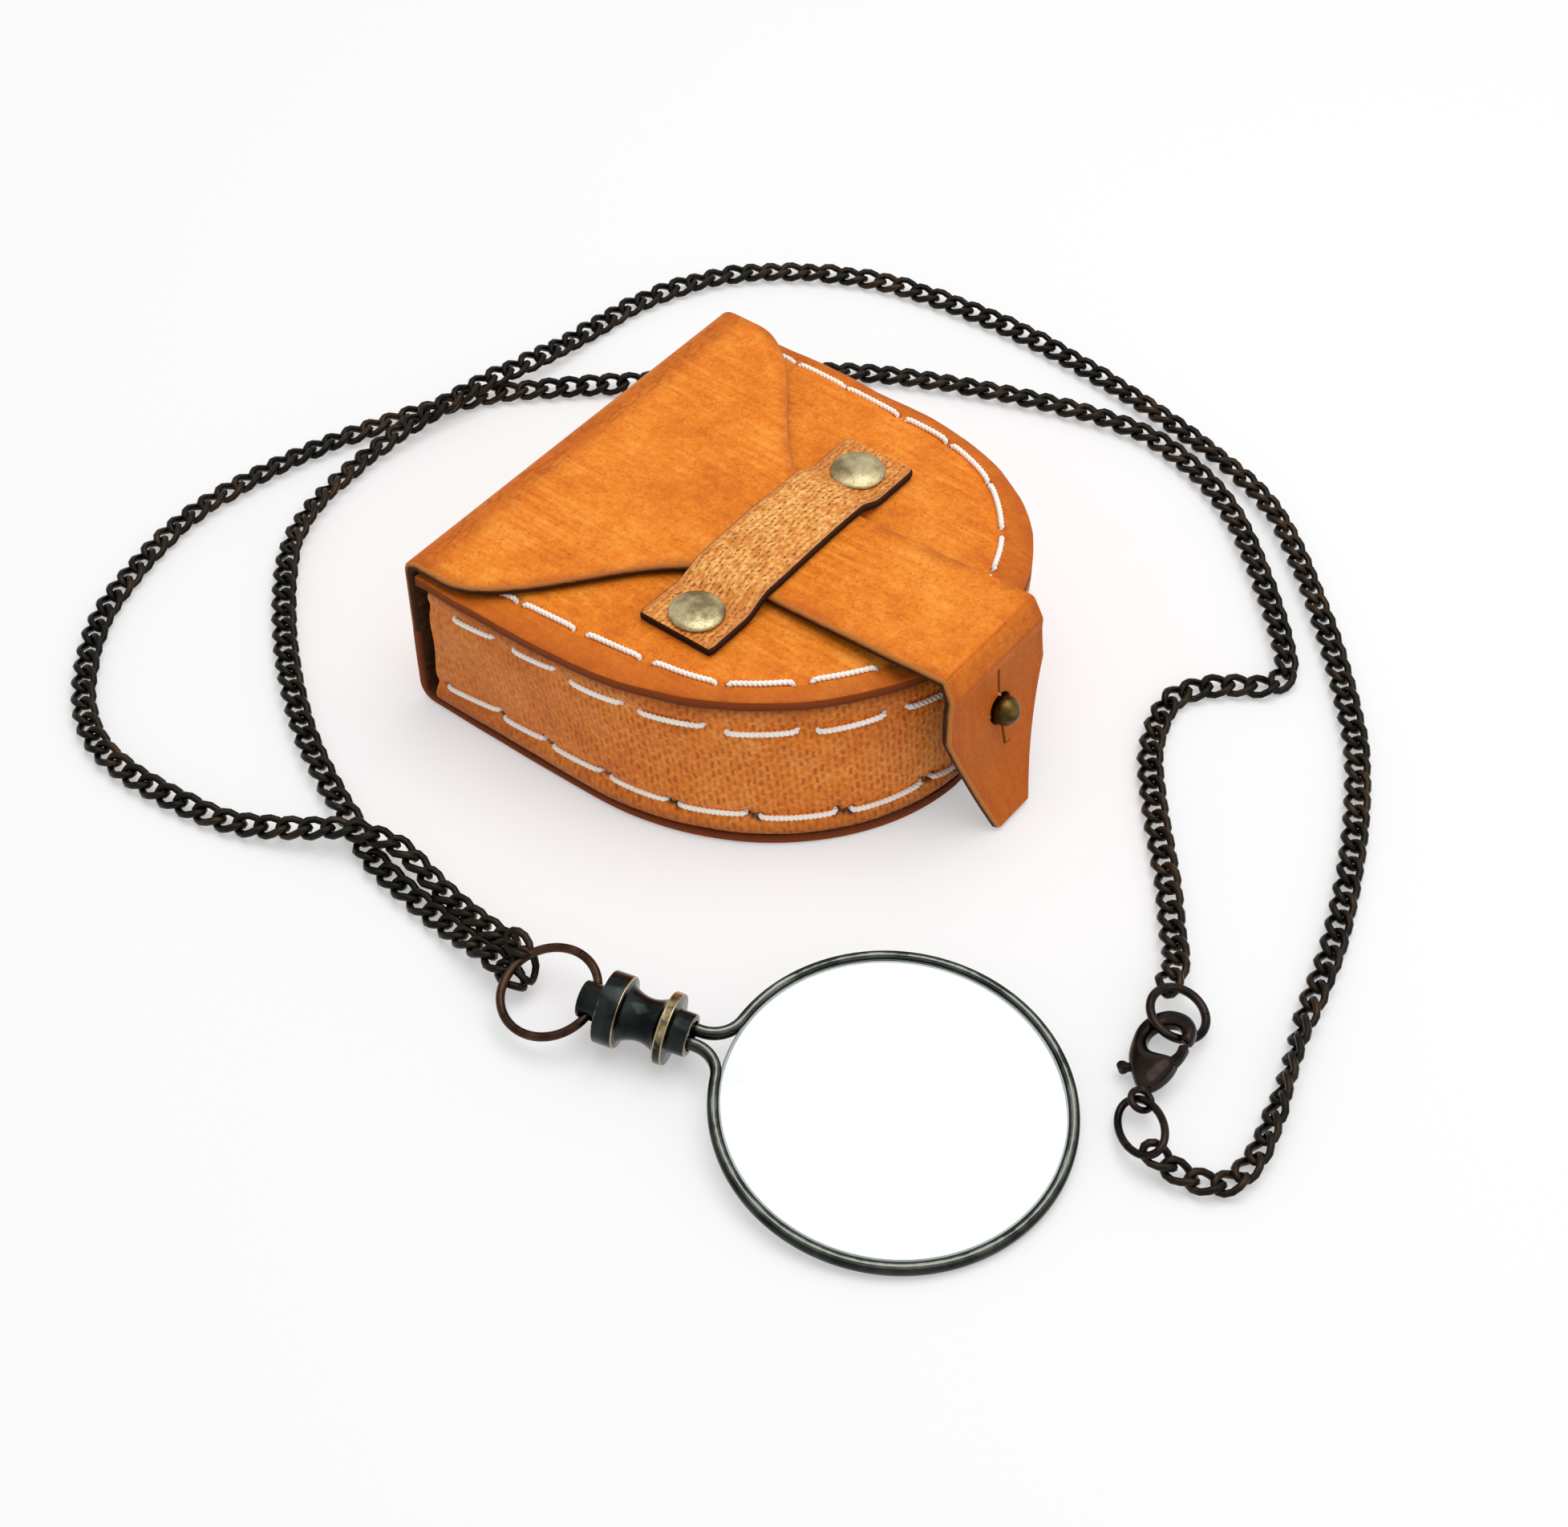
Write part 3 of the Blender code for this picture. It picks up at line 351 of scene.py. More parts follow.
def wallTable():
    # outline of the wall with its arc lengths and outward normals, from the near spine corner round the nose
    straight = np.linspace(case["spineX"], case["noseX"] - case["noseLength"], 200)[:-1]
    turn = np.linspace(-math.pi / 2, math.pi / 2, 1600)
    half = case["halfWidth"] - case["wallInset"]
    x = (case["noseX"] - case["noseLength"]) + (case["noseLength"] - case["wallInset"]) * np.cos(turn)
    near = np.column_stack((straight, np.full_like(straight, -half)))
    far = np.column_stack((straight[::-1], np.full_like(straight, half)))
    line = np.vstack((near, np.column_stack((x, half * np.sin(turn))), far))
    ahead = np.gradient(line, axis=0)
    ahead /= np.linalg.norm(ahead, axis=1)[:, None]
    lengths = np.concatenate(([0.0], np.cumsum(np.linalg.norm(np.diff(line, axis=0), axis=1))))
    return line, lengths, np.column_stack((ahead[:, 1], -ahead[:, 0]))


wallLine, wallLengths, wallNormals = wallTable()
wallLength = wallLengths[-1]


def wallOut(s):
    nx = np.interp(s, wallLengths, wallNormals[:, 0])
    ny = np.interp(s, wallLengths, wallNormals[:, 1])
    return np.stack((nx, ny, np.zeros_like(nx)), axis=-1)


def wallSpot(s, z, out):  # points on the leaning wall, s along it from the near spine corner
    x = np.interp(s, wallLengths, wallLine[:, 0])
    y = np.interp(s, wallLengths, wallLine[:, 1])
    z = np.broadcast_to(z, x.shape)
    y = y + z / case["depth"] * panelDrift(x)
    return np.stack((x, y, z), axis=-1) + wallOut(s) * np.broadcast_to(out, x.shape)[..., None]


def wobble(s, seed, reach):  # a hand-cut edge: slow sines, never more than reach
    rng = random.Random(seed)
    total = np.zeros_like(np.asarray(s, float))
    for wave in (31.0, 17.0, 9.0, 5.0):
        total = total + np.sin(np.asarray(s) / (wave * mm) * math.tau / 2 + rng.uniform(0, 6)) * wave / 62.0
    return total * reach


def loftPiece(name, rings, finishes, sharp, columns=None, capFinish=0):
    # skins rings of points into one closed mesh; columns names the finish of each lengthwise strip
    rings = np.asarray(rings, float)
    rows, count = rings.shape[:2]
    last = (rows - 1) * count
    faces = []
    for start in range(0, last, count):
        for j in range(count):
            k = (j + 1) % count
            faces.append((start + j, start + k, start + count + k, start + count + j))
    faces.append(tuple(range(count)))
    faces.append(tuple(range(last, last + count)))
    paint = (columns or [0] * count) * (rows - 1) + [capFinish, capFinish]
    mesh = bpy.data.meshes.new(name)
    mesh.from_pydata(rings.reshape(-1, 3).tolist(), [], faces)
    mesh.polygons.foreach_set("material_index", paint)
    for finish in finishes:
        mesh.materials.append(finish.material)
    finishMesh(mesh, sharp)
    return linkPiece(name, mesh)


def finishMesh(mesh, sharp):
    shape = bmesh.new()
    shape.from_mesh(mesh)
    bmesh.ops.recalc_face_normals(shape, faces=shape.faces)
    shape.to_mesh(mesh)
    shape.free()
    mesh.shade_smooth()
    mesh.set_sharp_from_angle(angle=math.radians(sharp))


def dress(mesh, **values):  # vertex attributes that the finishes read
    for name, data in values.items():
        data = np.asarray(data, np.float32)
        vector = name == "hide"
        made = mesh.attributes.new(name, "FLOAT_VECTOR" if vector else "FLOAT", "POINT")
        made.data.foreach_set("vector" if vector else "value", data.reshape(-1))


def roundedLine(corners, radii, step):  # straight runs with a round bend at each inner corner
    spots = [Vector(corner) for corner in corners]
    line = [spots[0]]
    for a, b, c, radius in zip(spots, spots[1:], spots[2:], radii):
        first = (b - a).normalized()
        second = (c - b).normalized()
        turn = first.angle_signed(second)
        reach = radius * math.tan(abs(turn) / 2)
        start = b - first * reach
        side = Vector((-first.y, first.x)) * (1 if turn < 0 else -1)
        centre = start + side * radius
        line += straightRun(line[-1], start, step)
        steps = max(4, round(abs(turn) * radius / step))
        for i in range(1, steps + 1):
            angle = -turn * i / steps
            offset = start - centre
            line.append(centre + Vector((offset.x * math.cos(angle) - offset.y * math.sin(angle),
                                         offset.x * math.sin(angle) + offset.y * math.cos(angle))))
    line += straightRun(line[-1], spots[-1], step)
    return line


def straightRun(a, b, step):
    count = max(1, round((b - a).length / step))
    return [a.lerp(b, i / count) for i in range(1, count + 1)]


class HideLine:  # the outer face of a folded strip, as points in XZ with arc lengths and outward normals
    def __init__(self, points, offset=0.0):
        self.points = np.array([tuple(point) for point in points])
        ahead = np.gradient(self.points, axis=0)
        ahead /= np.linalg.norm(ahead, axis=1)[:, None]
        self.normals = np.column_stack((-ahead[:, 1], ahead[:, 0]))
        steps = np.linalg.norm(np.diff(self.points, axis=0), axis=1)
        self.along = offset + np.concatenate(([0.0], np.cumsum(steps)))

    def nearest(self, x, z):
        apart = (x[:, None] - self.points[:, 0]) ** 2 + (z[:, None] - self.points[:, 1]) ** 2
        best = apart.argmin(axis=1)
        dx = x - self.points[best, 0]
        dz = z - self.points[best, 1]
        normal = self.normals[best]
        depth = -(dx * normal[:, 0] + dz * normal[:, 1])
        slide = dx * normal[:, 1] - dz * normal[:, 0]
        return best, self.along[best] + slide, depth


def leatherStrip(name, line, low, high, size, finishes, folds=(), tools=()):
    # a strip of hide along the line from low to high in Y, with eased edges
    thickness = size["thickness"]
    ease = size["edgeRound"]
    count = size["columns"]
    across = np.linspace(0, 1, count + 1)
    top = low[:, None] + ease + (high - low - 2 * ease)[:, None] * across
    under = top[:, ::-4]
    side = ((0.35 * ease, 0.12), (0.0, 0.30), (0.0, 0.72), (0.35 * ease, 0.92))
    farSide = np.stack([high - inset for inset, share in side], axis=1)
    nearSide = np.stack([low + inset for inset, share in reversed(side)], axis=1)
    y = np.concatenate((top, farSide, under, nearSide), axis=1)
    shares = [share for inset, share in side]
    outside = np.zeros(top.shape[1])
    inside = np.ones(under.shape[1])
    depth = np.concatenate((outside, shares, inside, shares[::-1])) * thickness
    x = line.points[:, 0, None] - line.normals[:, 0, None] * depth
    z = line.points[:, 1, None] - line.normals[:, 1, None] * depth
    rings = np.stack((x, y, z), axis=-1)
    cut = [1] * (len(side) + 1)
    edge = [0] * (top.shape[1] - 1) + cut + [0] * (under.shape[1] - 1) + cut
    piece = loftPiece(name, rings, finishes, 60.0, edge, 1)
    if tools:
        cutPiece(piece, tools)
        finishMesh(piece.data, 60.0)
    layer = hideDress(piece.data, line, low, high, thickness, folds)
    if tools:
        for face in piece.data.polygons:
            depths = [layer[vertex] for vertex in face.vertices]
            if max(depths) - min(depths) > 0.5:
                face.material_index = 1
    return piece


def meshSpots(mesh):
    spots = np.zeros(len(mesh.vertices) * 3)
    mesh.vertices.foreach_get("co", spots)
    return spots.reshape(-1, 3)


def hideDress(mesh, line, low, high, thickness, folds):
    # place on the hide (along, across, depth share), distance to the cut edge and nearness to a fold
    co = meshSpots(mesh)
    best, along, depth = line.nearest(co[:, 0], co[:, 2])
    rim = np.minimum(co[:, 1] - low[best], high[best] - co[:, 1]).clip(0)
    fold = np.zeros(len(co))
    for spot, reach, strength in folds:
        fold = np.maximum(fold, strength * hump(along, spot, reach))
    layer = (depth / thickness).clip(0, 1)
    dress(mesh, hide=np.stack((along, co[:, 1], layer), axis=-1), rim=rim, fold=fold)
    return layer


def cutPiece(piece, tools):  # takes the tools' shapes out of the piece
    for tool in tools:
        cut = piece.modifiers.new("cut", "BOOLEAN")
        cut.object = tool
        cut.solver = "EXACT"
    mesh = evaluatedMesh(piece)
    piece.modifiers.clear()
    piece.data = mesh
    mesh.name = piece.name
    for tool in tools:
        bpy.data.objects.remove(tool)


def boxTool(low, high):
    shape = bmesh.new()
    low = Vector(low)
    high = Vector(high)
    place = Matrix.Translation((low + high) / 2) @ Matrix.Diagonal((*(high - low), 1))
    bmesh.ops.create_cube(shape, size=1.0, matrix=place)
    return shapePiece("tool", shape)


def rodTool(radius, length, place, axis):
    shape = bmesh.new()
    turn = Vector(axis).to_track_quat("Z", "Y").to_matrix().to_4x4()
    bmesh.ops.create_cone(shape, cap_ends=True, segments=40, radius1=radius, radius2=radius,
                          depth=length, matrix=Matrix.Translation(place) @ turn)
    return shapePiece("tool", shape)


# Leather finishes, in linear colours
leather = {
    "tanDark": (0.66, 0.145, 0.008),
    "tanMid": (0.84, 0.225, 0.013),
    "tanLight": (0.96, 0.340, 0.045),
    "tanRim": (0.46, 0.090, 0.006),
    # the next colour is painted shade for the closing tab
    "tanShaded": (0.36, 0.056, 0.001),
    "speck": (0.42, 0.085, 0.006),
    "fleshDark": (0.036, 0.012, 0.004),
    "fleshMid": (0.078, 0.027, 0.009),
    "fleshLight": (0.180, 0.072, 0.026),
    "wallDark": (0.66, 0.150, 0.009),
    "wallMid": (0.90, 0.250, 0.022),
    "wallLight": (1.00, 0.460, 0.130),
    "wallDash": (0.34, 0.068, 0.006),
    "wallShade": (0.40, 0.120, 0.032),
    "keeperDark": (0.66, 0.210, 0.026),
    # the flesh colours are far darker than the inner side's own suede brown: painted shade inside the case
    "keeperMid": (0.86, 0.350, 0.064),
    "keeperLight": (1.00, 0.600, 0.200),
    "keeperDash": (0.13, 0.028, 0.004),
    "keeperRim": (0.50, 0.170, 0.050),
    "cutLight": (0.56, 0.200, 0.045),
    # the next colour serves dark cut edges, and painted shade in holes and under edges
    "darkCutAndShade": (0.045, 0.014, 0.005),
    "blackened": (0.012, 0.005, 0.003),
    "burnish": (0.27, 0.054, 0.008),
    # the next colour serves burnt edges, and painted shade in holes, under edges and under the panel
    "burntAndShade": (0.130, 0.028, 0.006),
    "thread": (1.00, 0.97, 0.90),
    "threadDark": (0.94, 0.86, 0.73),
}


def tones(kind, *places):  # the dark, mid and light stops of one leather
    return [(place, leather[kind + shade]) for place, shade in zip(places, ("Dark", "Mid", "Light"))]


def fleshSide(hide, spot):  # the rough inner side: short fibres over a cloudy ground, painted dark as shade inside the case
    nap = hide.noise(hide.stretch(spot, (900.0, 2600.0, 1.0)), 1.0, 3.0, 0.7)
    tuft = hide.noise(spot, 420.0, 3.0, 0.6)
    rubbed = hide.noise(spot, 45.0, 2.0)
    colour = hide.ramp(nap * 0.45 + tuft * 0.35 + rubbed * 0.20, tones("flesh", 0.38, 0.50, 0.64))
    return colour, nap * 0.7 + tuft * 0.6


def tanLeather():
    hide = Finish("tanLeather", Specular_IOR_Level=0.16)
    spot = hide.attribute("hide", "Vector")
    layer = hide.part(spot, 2)
    tone = hide.noise(spot, 48.0, 4.0, 0.6)
    cloud = hide.noise(spot, 210.0, 3.0, 0.6)
    streak = hide.noise(hide.stretch(spot, (55.0, 900.0, 1.0)), 1.0, 3.0, 0.6)
    fine = hide.noise(spot, 1500.0, 4.0, 0.65)
    large = (1.0 - hide.cells(spot, 900.0).step(0.08, 0.30)) * hide.noise(spot, 260.0).step(0.40, 0.58)
    small = (1.0 - hide.cells(spot, 2000.0).step(0.05, 0.44)) * hide.noise(spot, 500.0).step(0.36, 0.56)
    speck = (large * 0.8).most(small * 0.7)
    mottle = hide.noise(spot, 620.0, 3.0, 0.6)
    brush = hide.noise(spot, 36.0).step(0.44, 0.62)
    drawn = (streak - 0.5) * (0.10 + 0.28 * brush)
    shade = tone * 0.34 + cloud * 0.20 + mottle * 0.20 + fine * 0.26 + drawn
    colour = hide.ramp(shade, tones("tan", 0.40, 0.50, 0.61))
    brushed = streak.step(0.56, 0.74) * brush
    colour = hide.mix(brushed * 0.45, colour, leather["tanLight"])
    colour = hide.mix(speck * 0.62, colour, leather["speck"])
    # the closing tab darkened below its upper crease: painted shade, its face being turned from the light
    patina = hide.attribute("patina") * (0.14 + 0.45 * cloud + 0.5 * tone)
    colour = hide.mix(patina, colour, leather["tanShaded"])
    rim = 1.0 - hide.attribute("rim").step(0.1 * mm, 3.4 * mm)
    rubbed = hide.noise(spot, 240.0, 3.0).step(0.32, 0.66)
    colour = hide.mix(rim * (0.14 + 0.62 * rubbed), colour, leather["tanRim"])
    colour = hide.mix(hide.attribute("border") * (0.30 + 0.40 * cloud), colour, leather["tanRim"])
    # crease marks: the crackle lines are the leather's own; the even darkening along each fold is painted
    # shade
    crackle = hide.cracks(hide.stretch(spot, (1100.0, 260.0, 1.0)), 1.0)
    fold = hide.attribute("fold")
    creased = fold * (1.0 - crackle.step(0.02, 0.14)) * cloud.step(0.40, 0.60)
    colour = hide.mix((creased * 0.60 + fold * 0.62).least(0.9), colour, leather["tanRim"])
    # stitch holes darkened: painted shade in the holes
    colour = hide.mix(hide.attribute("hole").step(0.25, 0.9), colour, leather["burntAndShade"])
    inside = layer.step(0.86, 0.97)
    flesh, fibres = fleshSide(hide, spot)
    hide.feed("Base Color", hide.mix(inside, colour, flesh))
    hide.feed("Roughness", 0.46 + 0.16 * cloud + 0.30 * inside)
    pores = hide.cracks(spot, 1300.0).step(0.0, 0.14)
    grain = fine * 0.8 + pores * 0.25 - speck * 0.7 - creased * 0.8 + streak * 0.4
    hide.bump(grain + (fibres * 2.2 - grain) * inside, 0.45, 0.00018)
    return hide


def wallLeather():
    hide = Finish("gussetLeather", Specular_IOR_Level=0.26)
    spot = hide.attribute("hide", "Vector")
    along, up, layer = (hide.part(spot, index) for index in range(3))
    tone = hide.noise(spot, 60.0, 3.0, 0.55)
    fine = hide.noise(spot, 1500.0, 2.0)
    blob = hide.cells(hide.stretch(spot, (1050.0, 1150.0, 1.0), 0.25), 1.0)
    waver = (hide.noise(spot, 420.0, 2.0) - 0.5) * (1.1 * mm)
    dash = hide.dashes(along + up * 0.22 + waver, up + waver, 1.0 * mm, 1.7 * mm, 0.36)
    shade = 0.68 - blob * 0.40 + (fine - 0.5) * 0.25 + (tone - 0.5) * 0.90
    colour = hide.ramp(shade, tones("wall", 0.22, 0.50, 0.86))
    spineEnd = (along - wallLength / 2).size().step(wallLength * 0.26, wallLength * 0.48)
    colour = hide.mix(0.04 + spineEnd * 0.22, colour, leather["wallShade"])
    colour = hide.mix(dash * (0.70 - 0.34 * spineEnd), colour, leather["wallDash"])
    # stitch holes and the gaps between lower stitches darkened: painted shade
    colour = hide.mix(hide.attribute("hole").step(0.12, 0.6), colour, leather["darkCutAndShade"])
    # darker bands along the wall's top and bottom: burnished edges of the hide, with painted shade under the
    # panel's overhang and along the back cover
    rim = 1.0 - hide.attribute("rim").step(0.2 * mm, 3.4 * mm)
    colour = hide.mix(rim * (0.20 + 0.6 * fine), colour, leather["burntAndShade"])
    inside = layer.step(0.86, 0.97)
    flesh, fibres = fleshSide(hide, spot)
    hide.feed("Base Color", hide.mix(inside, colour, flesh))
    hide.feed("Roughness", 0.40 + 0.20 * fine + 0.35 * inside)
    grain = fine * 0.3 - blob * 0.55 - dash
    hide.bump(grain + (fibres * 1.6 - grain) * inside, 0.55, 0.00022)
    return hide


def cutEdge(name, light, dark, turnsDark=0.5):
    edge = Finish(name, Specular_IOR_Level=0.14)
    spot = edge.attribute("hide", "Vector")
    layer = edge.part(spot, 2)
    fibre = edge.noise(edge.stretch(spot, (700.0, 700.0, 14.0)), 1.0, 3.0, 0.65)
    # the edge darkens from its top towards the underside: painted shade under the cut edge
    colour = edge.ramp(layer + (fibre - 0.5) * 0.5, ((0.22, light), (turnsDark, dark)))
    edge.feed("Base Color", colour)
    edge.feed("Roughness", 0.55 + 0.3 * fibre)
    edge.bump(fibre, 0.5, 0.0002)
    return edge


def creamThread():
    thread = Finish("creamThread")
    where = thread.place()
    dirt = thread.noise(where, 260.0, 3.0)
    fibre = thread.noise(where, 4200.0, 2.0)
    soiled = dirt.step(0.45, 0.72) * 0.55
    thread.feed("Base Color", thread.mix(soiled, leather["thread"], leather["threadDark"]))
    thread.feed("Roughness", 0.6 + 0.3 * fibre)
    thread.bump(fibre, 0.4, 0.0001)
    return thread


tanHide = tanLeather()
wallHide = wallLeather()
paleEdge = cutEdge("paleCutEdge", leather["cutLight"], leather["darkCutAndShade"])
burntEdge = cutEdge("burntEdge", leather["burntAndShade"], leather["darkCutAndShade"])
blackEdge = cutEdge("blackEdge", leather["darkCutAndShade"], leather["blackened"])
panelEdge = cutEdge("panelEdge", leather["burnish"], leather["burntAndShade"], 0.95)

# Cover: one hide folded round the case, on to the tongue and the closing tab
cover = {
    "thickness": 1.7 * mm,
    "edgeRound": 0.40 * mm,
    "columns": 44,
    "lift": 0.05 * mm,
    "foldRadius": 3.0 * mm,
    "spineJoin": 15.0 * mm,
    "ogeeStart": -32.8 * mm,
    "ogeeLength": 33.5 * mm,
    "tongueHalf": 11.6 * mm,
    "tongueBend": (9 * mm, 60 * mm),
    "tongueJoin": (35.0 * mm, 31.83 * mm),
    "creases": ((41.3 * mm, 32.2 * mm), (43.2 * mm, 28.5 * mm)),
    "creaseRadii": (1.0 * mm, 1.1 * mm),
    "tabTop": (43.0 * mm, 32.1 * mm),
    "tabLength": 31.3 * mm,
    "tabKick": 6.2 * mm,
    "kickPower": 2.2,
    "hangStart": 5.6 * mm,
    "tabShoulder": (11.2 * mm, 12.4 * mm),
    "tabTipHalf": 4.1 * mm,
    "tabDrift": 2.0 * mm,
    "buttonHole": (19.0 * mm, 2.7 * mm),
    "slitReach": (40.0 * mm, 50.0 * mm),
    "slits": ((-0.32 * mm, 0.32 * mm, 0.0, 7.8 * mm), (-0.32 * mm, 0.32 * mm, -7.0 * mm, 0.0),
              (-0.10 * mm, 1.30 * mm, -7.2 * mm, -6.75 * mm)),
    "bottomFold": (14.0 * mm, 3.0 * mm),
    "topFold": (17.0 * mm, 2.6 * mm),
    "sharpCrease": 0.35 * mm,
    "chamferShade": 2.2 * mm,
    "tabShadeDrop": 6.0 * mm,
    "edgeWander": 0.14 * mm,
}


def bottomHalf(x):
    centre = case["noseX"] - case["noseLength"]
    share = np.clip((x - centre) / case["noseLength"], 0, 1)
    return case["halfWidth"] * np.sqrt(1 - share ** 2)


def coverHalf(x):
    share = np.clip((x - cover["ogeeStart"]) / cover["ogeeLength"], 0, 1)
    reach = case["halfWidth"] - cover["tongueHalf"]
    return cover["tongueHalf"] + reach * (1 + np.cos(math.pi * share)) / 2


def tabHalf(down):
    drop, shoulder = cover["tabShoulder"]
    halves = (cover["tongueHalf"], shoulder, cover["tabTipHalf"])
    return np.interp(down, (0, drop, cover["tabLength"]), halves)


def makeBackCover():
    centre = case["noseX"] - case["noseLength"]
    turns = np.radians(np.linspace(4, 90, 48))
    start = [Vector((centre + case["noseLength"] * math.cos(turn), cover["lift"])) for turn in turns]
    bend = roundedLine([start[-1], (case["foldX"], cover["lift"]), (case["foldX"], cover["spineJoin"])],
                       [cover["foldRadius"]], 1.0 * mm)
    line = HideLine(start[:-1] + bend)
    half = bottomHalf(line.points[:, 0]) + wobble(line.along, 3, cover["edgeWander"])
    height, reach = cover["bottomFold"]
    folds = [(line.along[-1] - height, reach, 1.0)]
    piece = leatherStrip("backCover", line, -half, half, cover, [tanHide, panelEdge], folds)
    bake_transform(piece)
    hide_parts("back_panel")
    return line.along[-1]


def makeFlapCover(offset):
    top = case["coverTop"]
    bendX, bendRadius = cover["tongueBend"]
    bend = roundedLine([(case["foldX"], cover["spineJoin"]), (case["foldX"], top), (bendX, top),
                        cover["tongueJoin"]], [cover["foldRadius"], bendRadius], 0.7 * mm)
    line = HideLine(bend, offset)
    half = coverHalf(line.points[:, 0])
    low = -half + wobble(line.along, 5, cover["edgeWander"])
    high = half + wobble(line.along, 8, cover["edgeWander"])
    height, reach = cover["topFold"]
    folds = [(offset + height, reach, 1.0)]
    piece = leatherStrip("flapCover", line, low, high, cover, [tanHide, paleEdge], folds)
    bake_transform(piece)
    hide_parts("spine_strip", "cover_flap", "tongue_strap")
    return line.along[-1]


def makeTabCover(offset):
    topX, topZ = cover["tabTop"]
    hang = []
    for down in np.linspace(cover["hangStart"], cover["tabLength"], 48):
        kick = cover["tabKick"] * (down / cover["tabLength"]) ** cover["kickPower"]
        hang.append(Vector((topX + kick, topZ - down)))
    corners = [cover["tongueJoin"], *cover["creases"], hang[0]]
    bend = roundedLine(corners, cover["creaseRadii"], 0.45 * mm)
    line = HideLine(bend + hang[1:], offset)
    down = np.where(line.points[:, 0] > cover["creases"][0][0], (topZ - line.points[:, 1]).clip(0), 0)
    half = tabHalf(down)
    middle = -cover["tabDrift"] * (down / cover["tabLength"]) ** 2
    low = middle - half + wobble(line.along, 12, cover["edgeWander"])
    high = middle + half + wobble(line.along, 17, cover["edgeWander"])
    z, radius = cover["buttonHole"]
    near, far = cover["slitReach"]
    tools = [rodTool(radius, 12 * mm, (topX + 1 * mm, 0, z), (1, 0, 0))]
    for left, right, bottom, top in cover["slits"]:
        tools.append(boxTool((near, left, z + bottom), (far, right, z + top)))
    first, second = (line.along[np.abs(line.points - spot).sum(axis=1).argmin()] for spot in cover["creases"])
    folds = [(spot, cover["sharpCrease"], 1.0) for spot in (first, second)]
    # the band between the two creases is darkened at half strength: painted shade
    folds.append(((first + second) / 2, cover["chamferShade"], 0.5))
    piece = leatherStrip("tabCover", line, low, high, cover, [tanHide, paleEdge], folds, tools)
    # painted shade on the tab, growing with the drop below its upper crease
    drop = (cover["creases"][0][1] - meshSpots(piece.data)[:, 2]) / cover["tabShadeDrop"]
    dress(piece.data, patina=drop.clip(0, 1))
    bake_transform(piece)
    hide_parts("closing_tab")


makeTabCover(makeFlapCover(makeBackCover()))
print("cover folded")

# Front panel and gusset, with their stitch rows as measured in the photograph
sewing = {
    "threadRadius": 0.50 * mm,
    "flatten": 0.70,
    "twist": 4300.0,
    "step": 0.20 * mm,
    "holeRadius": 0.65 * mm,
    "pitch": 11.9 * mm,
    "gap": 2.4 * mm,
    "cornerRoom": 2.0 * mm,
    "upperHeight": 22.0 * mm,
    "lowerHeight": 5.4 * mm,
    "panelSink": 0.38 * mm,
    "crown": 0.12 * mm,
    "lift": 0.30 * mm,
    "dive": (-0.6 * mm, 0.05 * mm, 0.26 * mm),
    "shares": (0.0, 0.015, 0.08, 0.2, 0.35, 0.5, 0.65, 0.8, 0.92, 0.985, 1.0),
}
# the panel's row as (x, y), first the near spine corner, and the x of each stitch's two ends, in mm
panelRow = (
    (-36, -34.3), (-21, -33.4), (-10.5, -32.6), (1, -31.2), (12.5, -28.4), (22.3, -20.6), (30.3, -9.5),
    (33.8, 3), (30.8, 16), (26.6, 24.5), (18.6, 32.4), (8.2, 36.3), (-2, 36.9), (-13, 37.2), (-24, 37.2),
    (-36, 36.5),
)
panelStitches = (
    (-35.5, -27.3), (-25.5, -22.6), (-21, -11.8), (-9.2, 0), (2.5, 12.1), (13.9, 21.3), (23.2, 29.1),
    (30.6, 33.4), (33.7, 31.2), (30.6, 27.6), (26.2, 19.1), (18.2, 8.9), (7.4, -0.7), (-2.6, -12.8),
    (-13.6, -22.8), (-24, -34),
)
# the gusset's stitches as (along, height) of one end and of the other, in mm
upperStitches = (
    (7.1, 22.3, 15.2, 23.2), (19.2, 22.9, 27.3, 23.7), (30.3, 22.7, 39.3, 22.8), (42.0, 22.1, 51.7, 21.9),
    (54.9, 21.0, 65.0, 21.4), (67.8, 21.0, 77.7, 21.7), (81.2, 21.6, 91.0, 21.5),
)
lowerStitches = (
    (4.1, 5.6, 15.0, 7.2), (16.0, 6.1, 24.3, 6.7), (26.1, 6.1, 35.5, 6.7), (37.3, 6.3, 46.9, 5.8),
    (48.8, 5.4, 59.1, 5.6), (61.2, 5.0, 72.7, 5.0), (75.1, 4.7, 86.9, 5.2), (88.9, 5.2, 93.9, 4.3),
)


def wholeRow(stitches, height):  # the measured stitches, then an even row on to the far spine corner
    row = [tuple(value * mm for value in stitch) for stitch in stitches]
    start = row[-1][2] + sewing["gap"]
    while start + sewing["pitch"] < wallLength - sewing["cornerRoom"]:
        row.append((start, height, start + sewing["pitch"] - sewing["gap"], height))
        start += sewing["pitch"]
    return row


def panelRowLine():  # the panel's stitch row as points with their place along the outline
    line = smoothLine([(x * mm, y * mm, 0) for x, y in panelRow], 14)
    spots = np.array([tuple(spot)[:2] for spot in line])
    s = np.linspace(0, wallLength, 900)
    outline = wallSpot(s, case["depth"], case["wallInset"])[:, :2]
    apart = np.linalg.norm(spots[:, None] - outline, axis=2)
    return spots, s[apart.argmin(axis=1)], apart.min(axis=1)


def holeDepth(spots, holes):
    apart = np.linalg.norm(spots[..., None, :] - np.asarray(holes), axis=-1).min(axis=-1)
    return hump(apart, 0, sewing["holeRadius"])


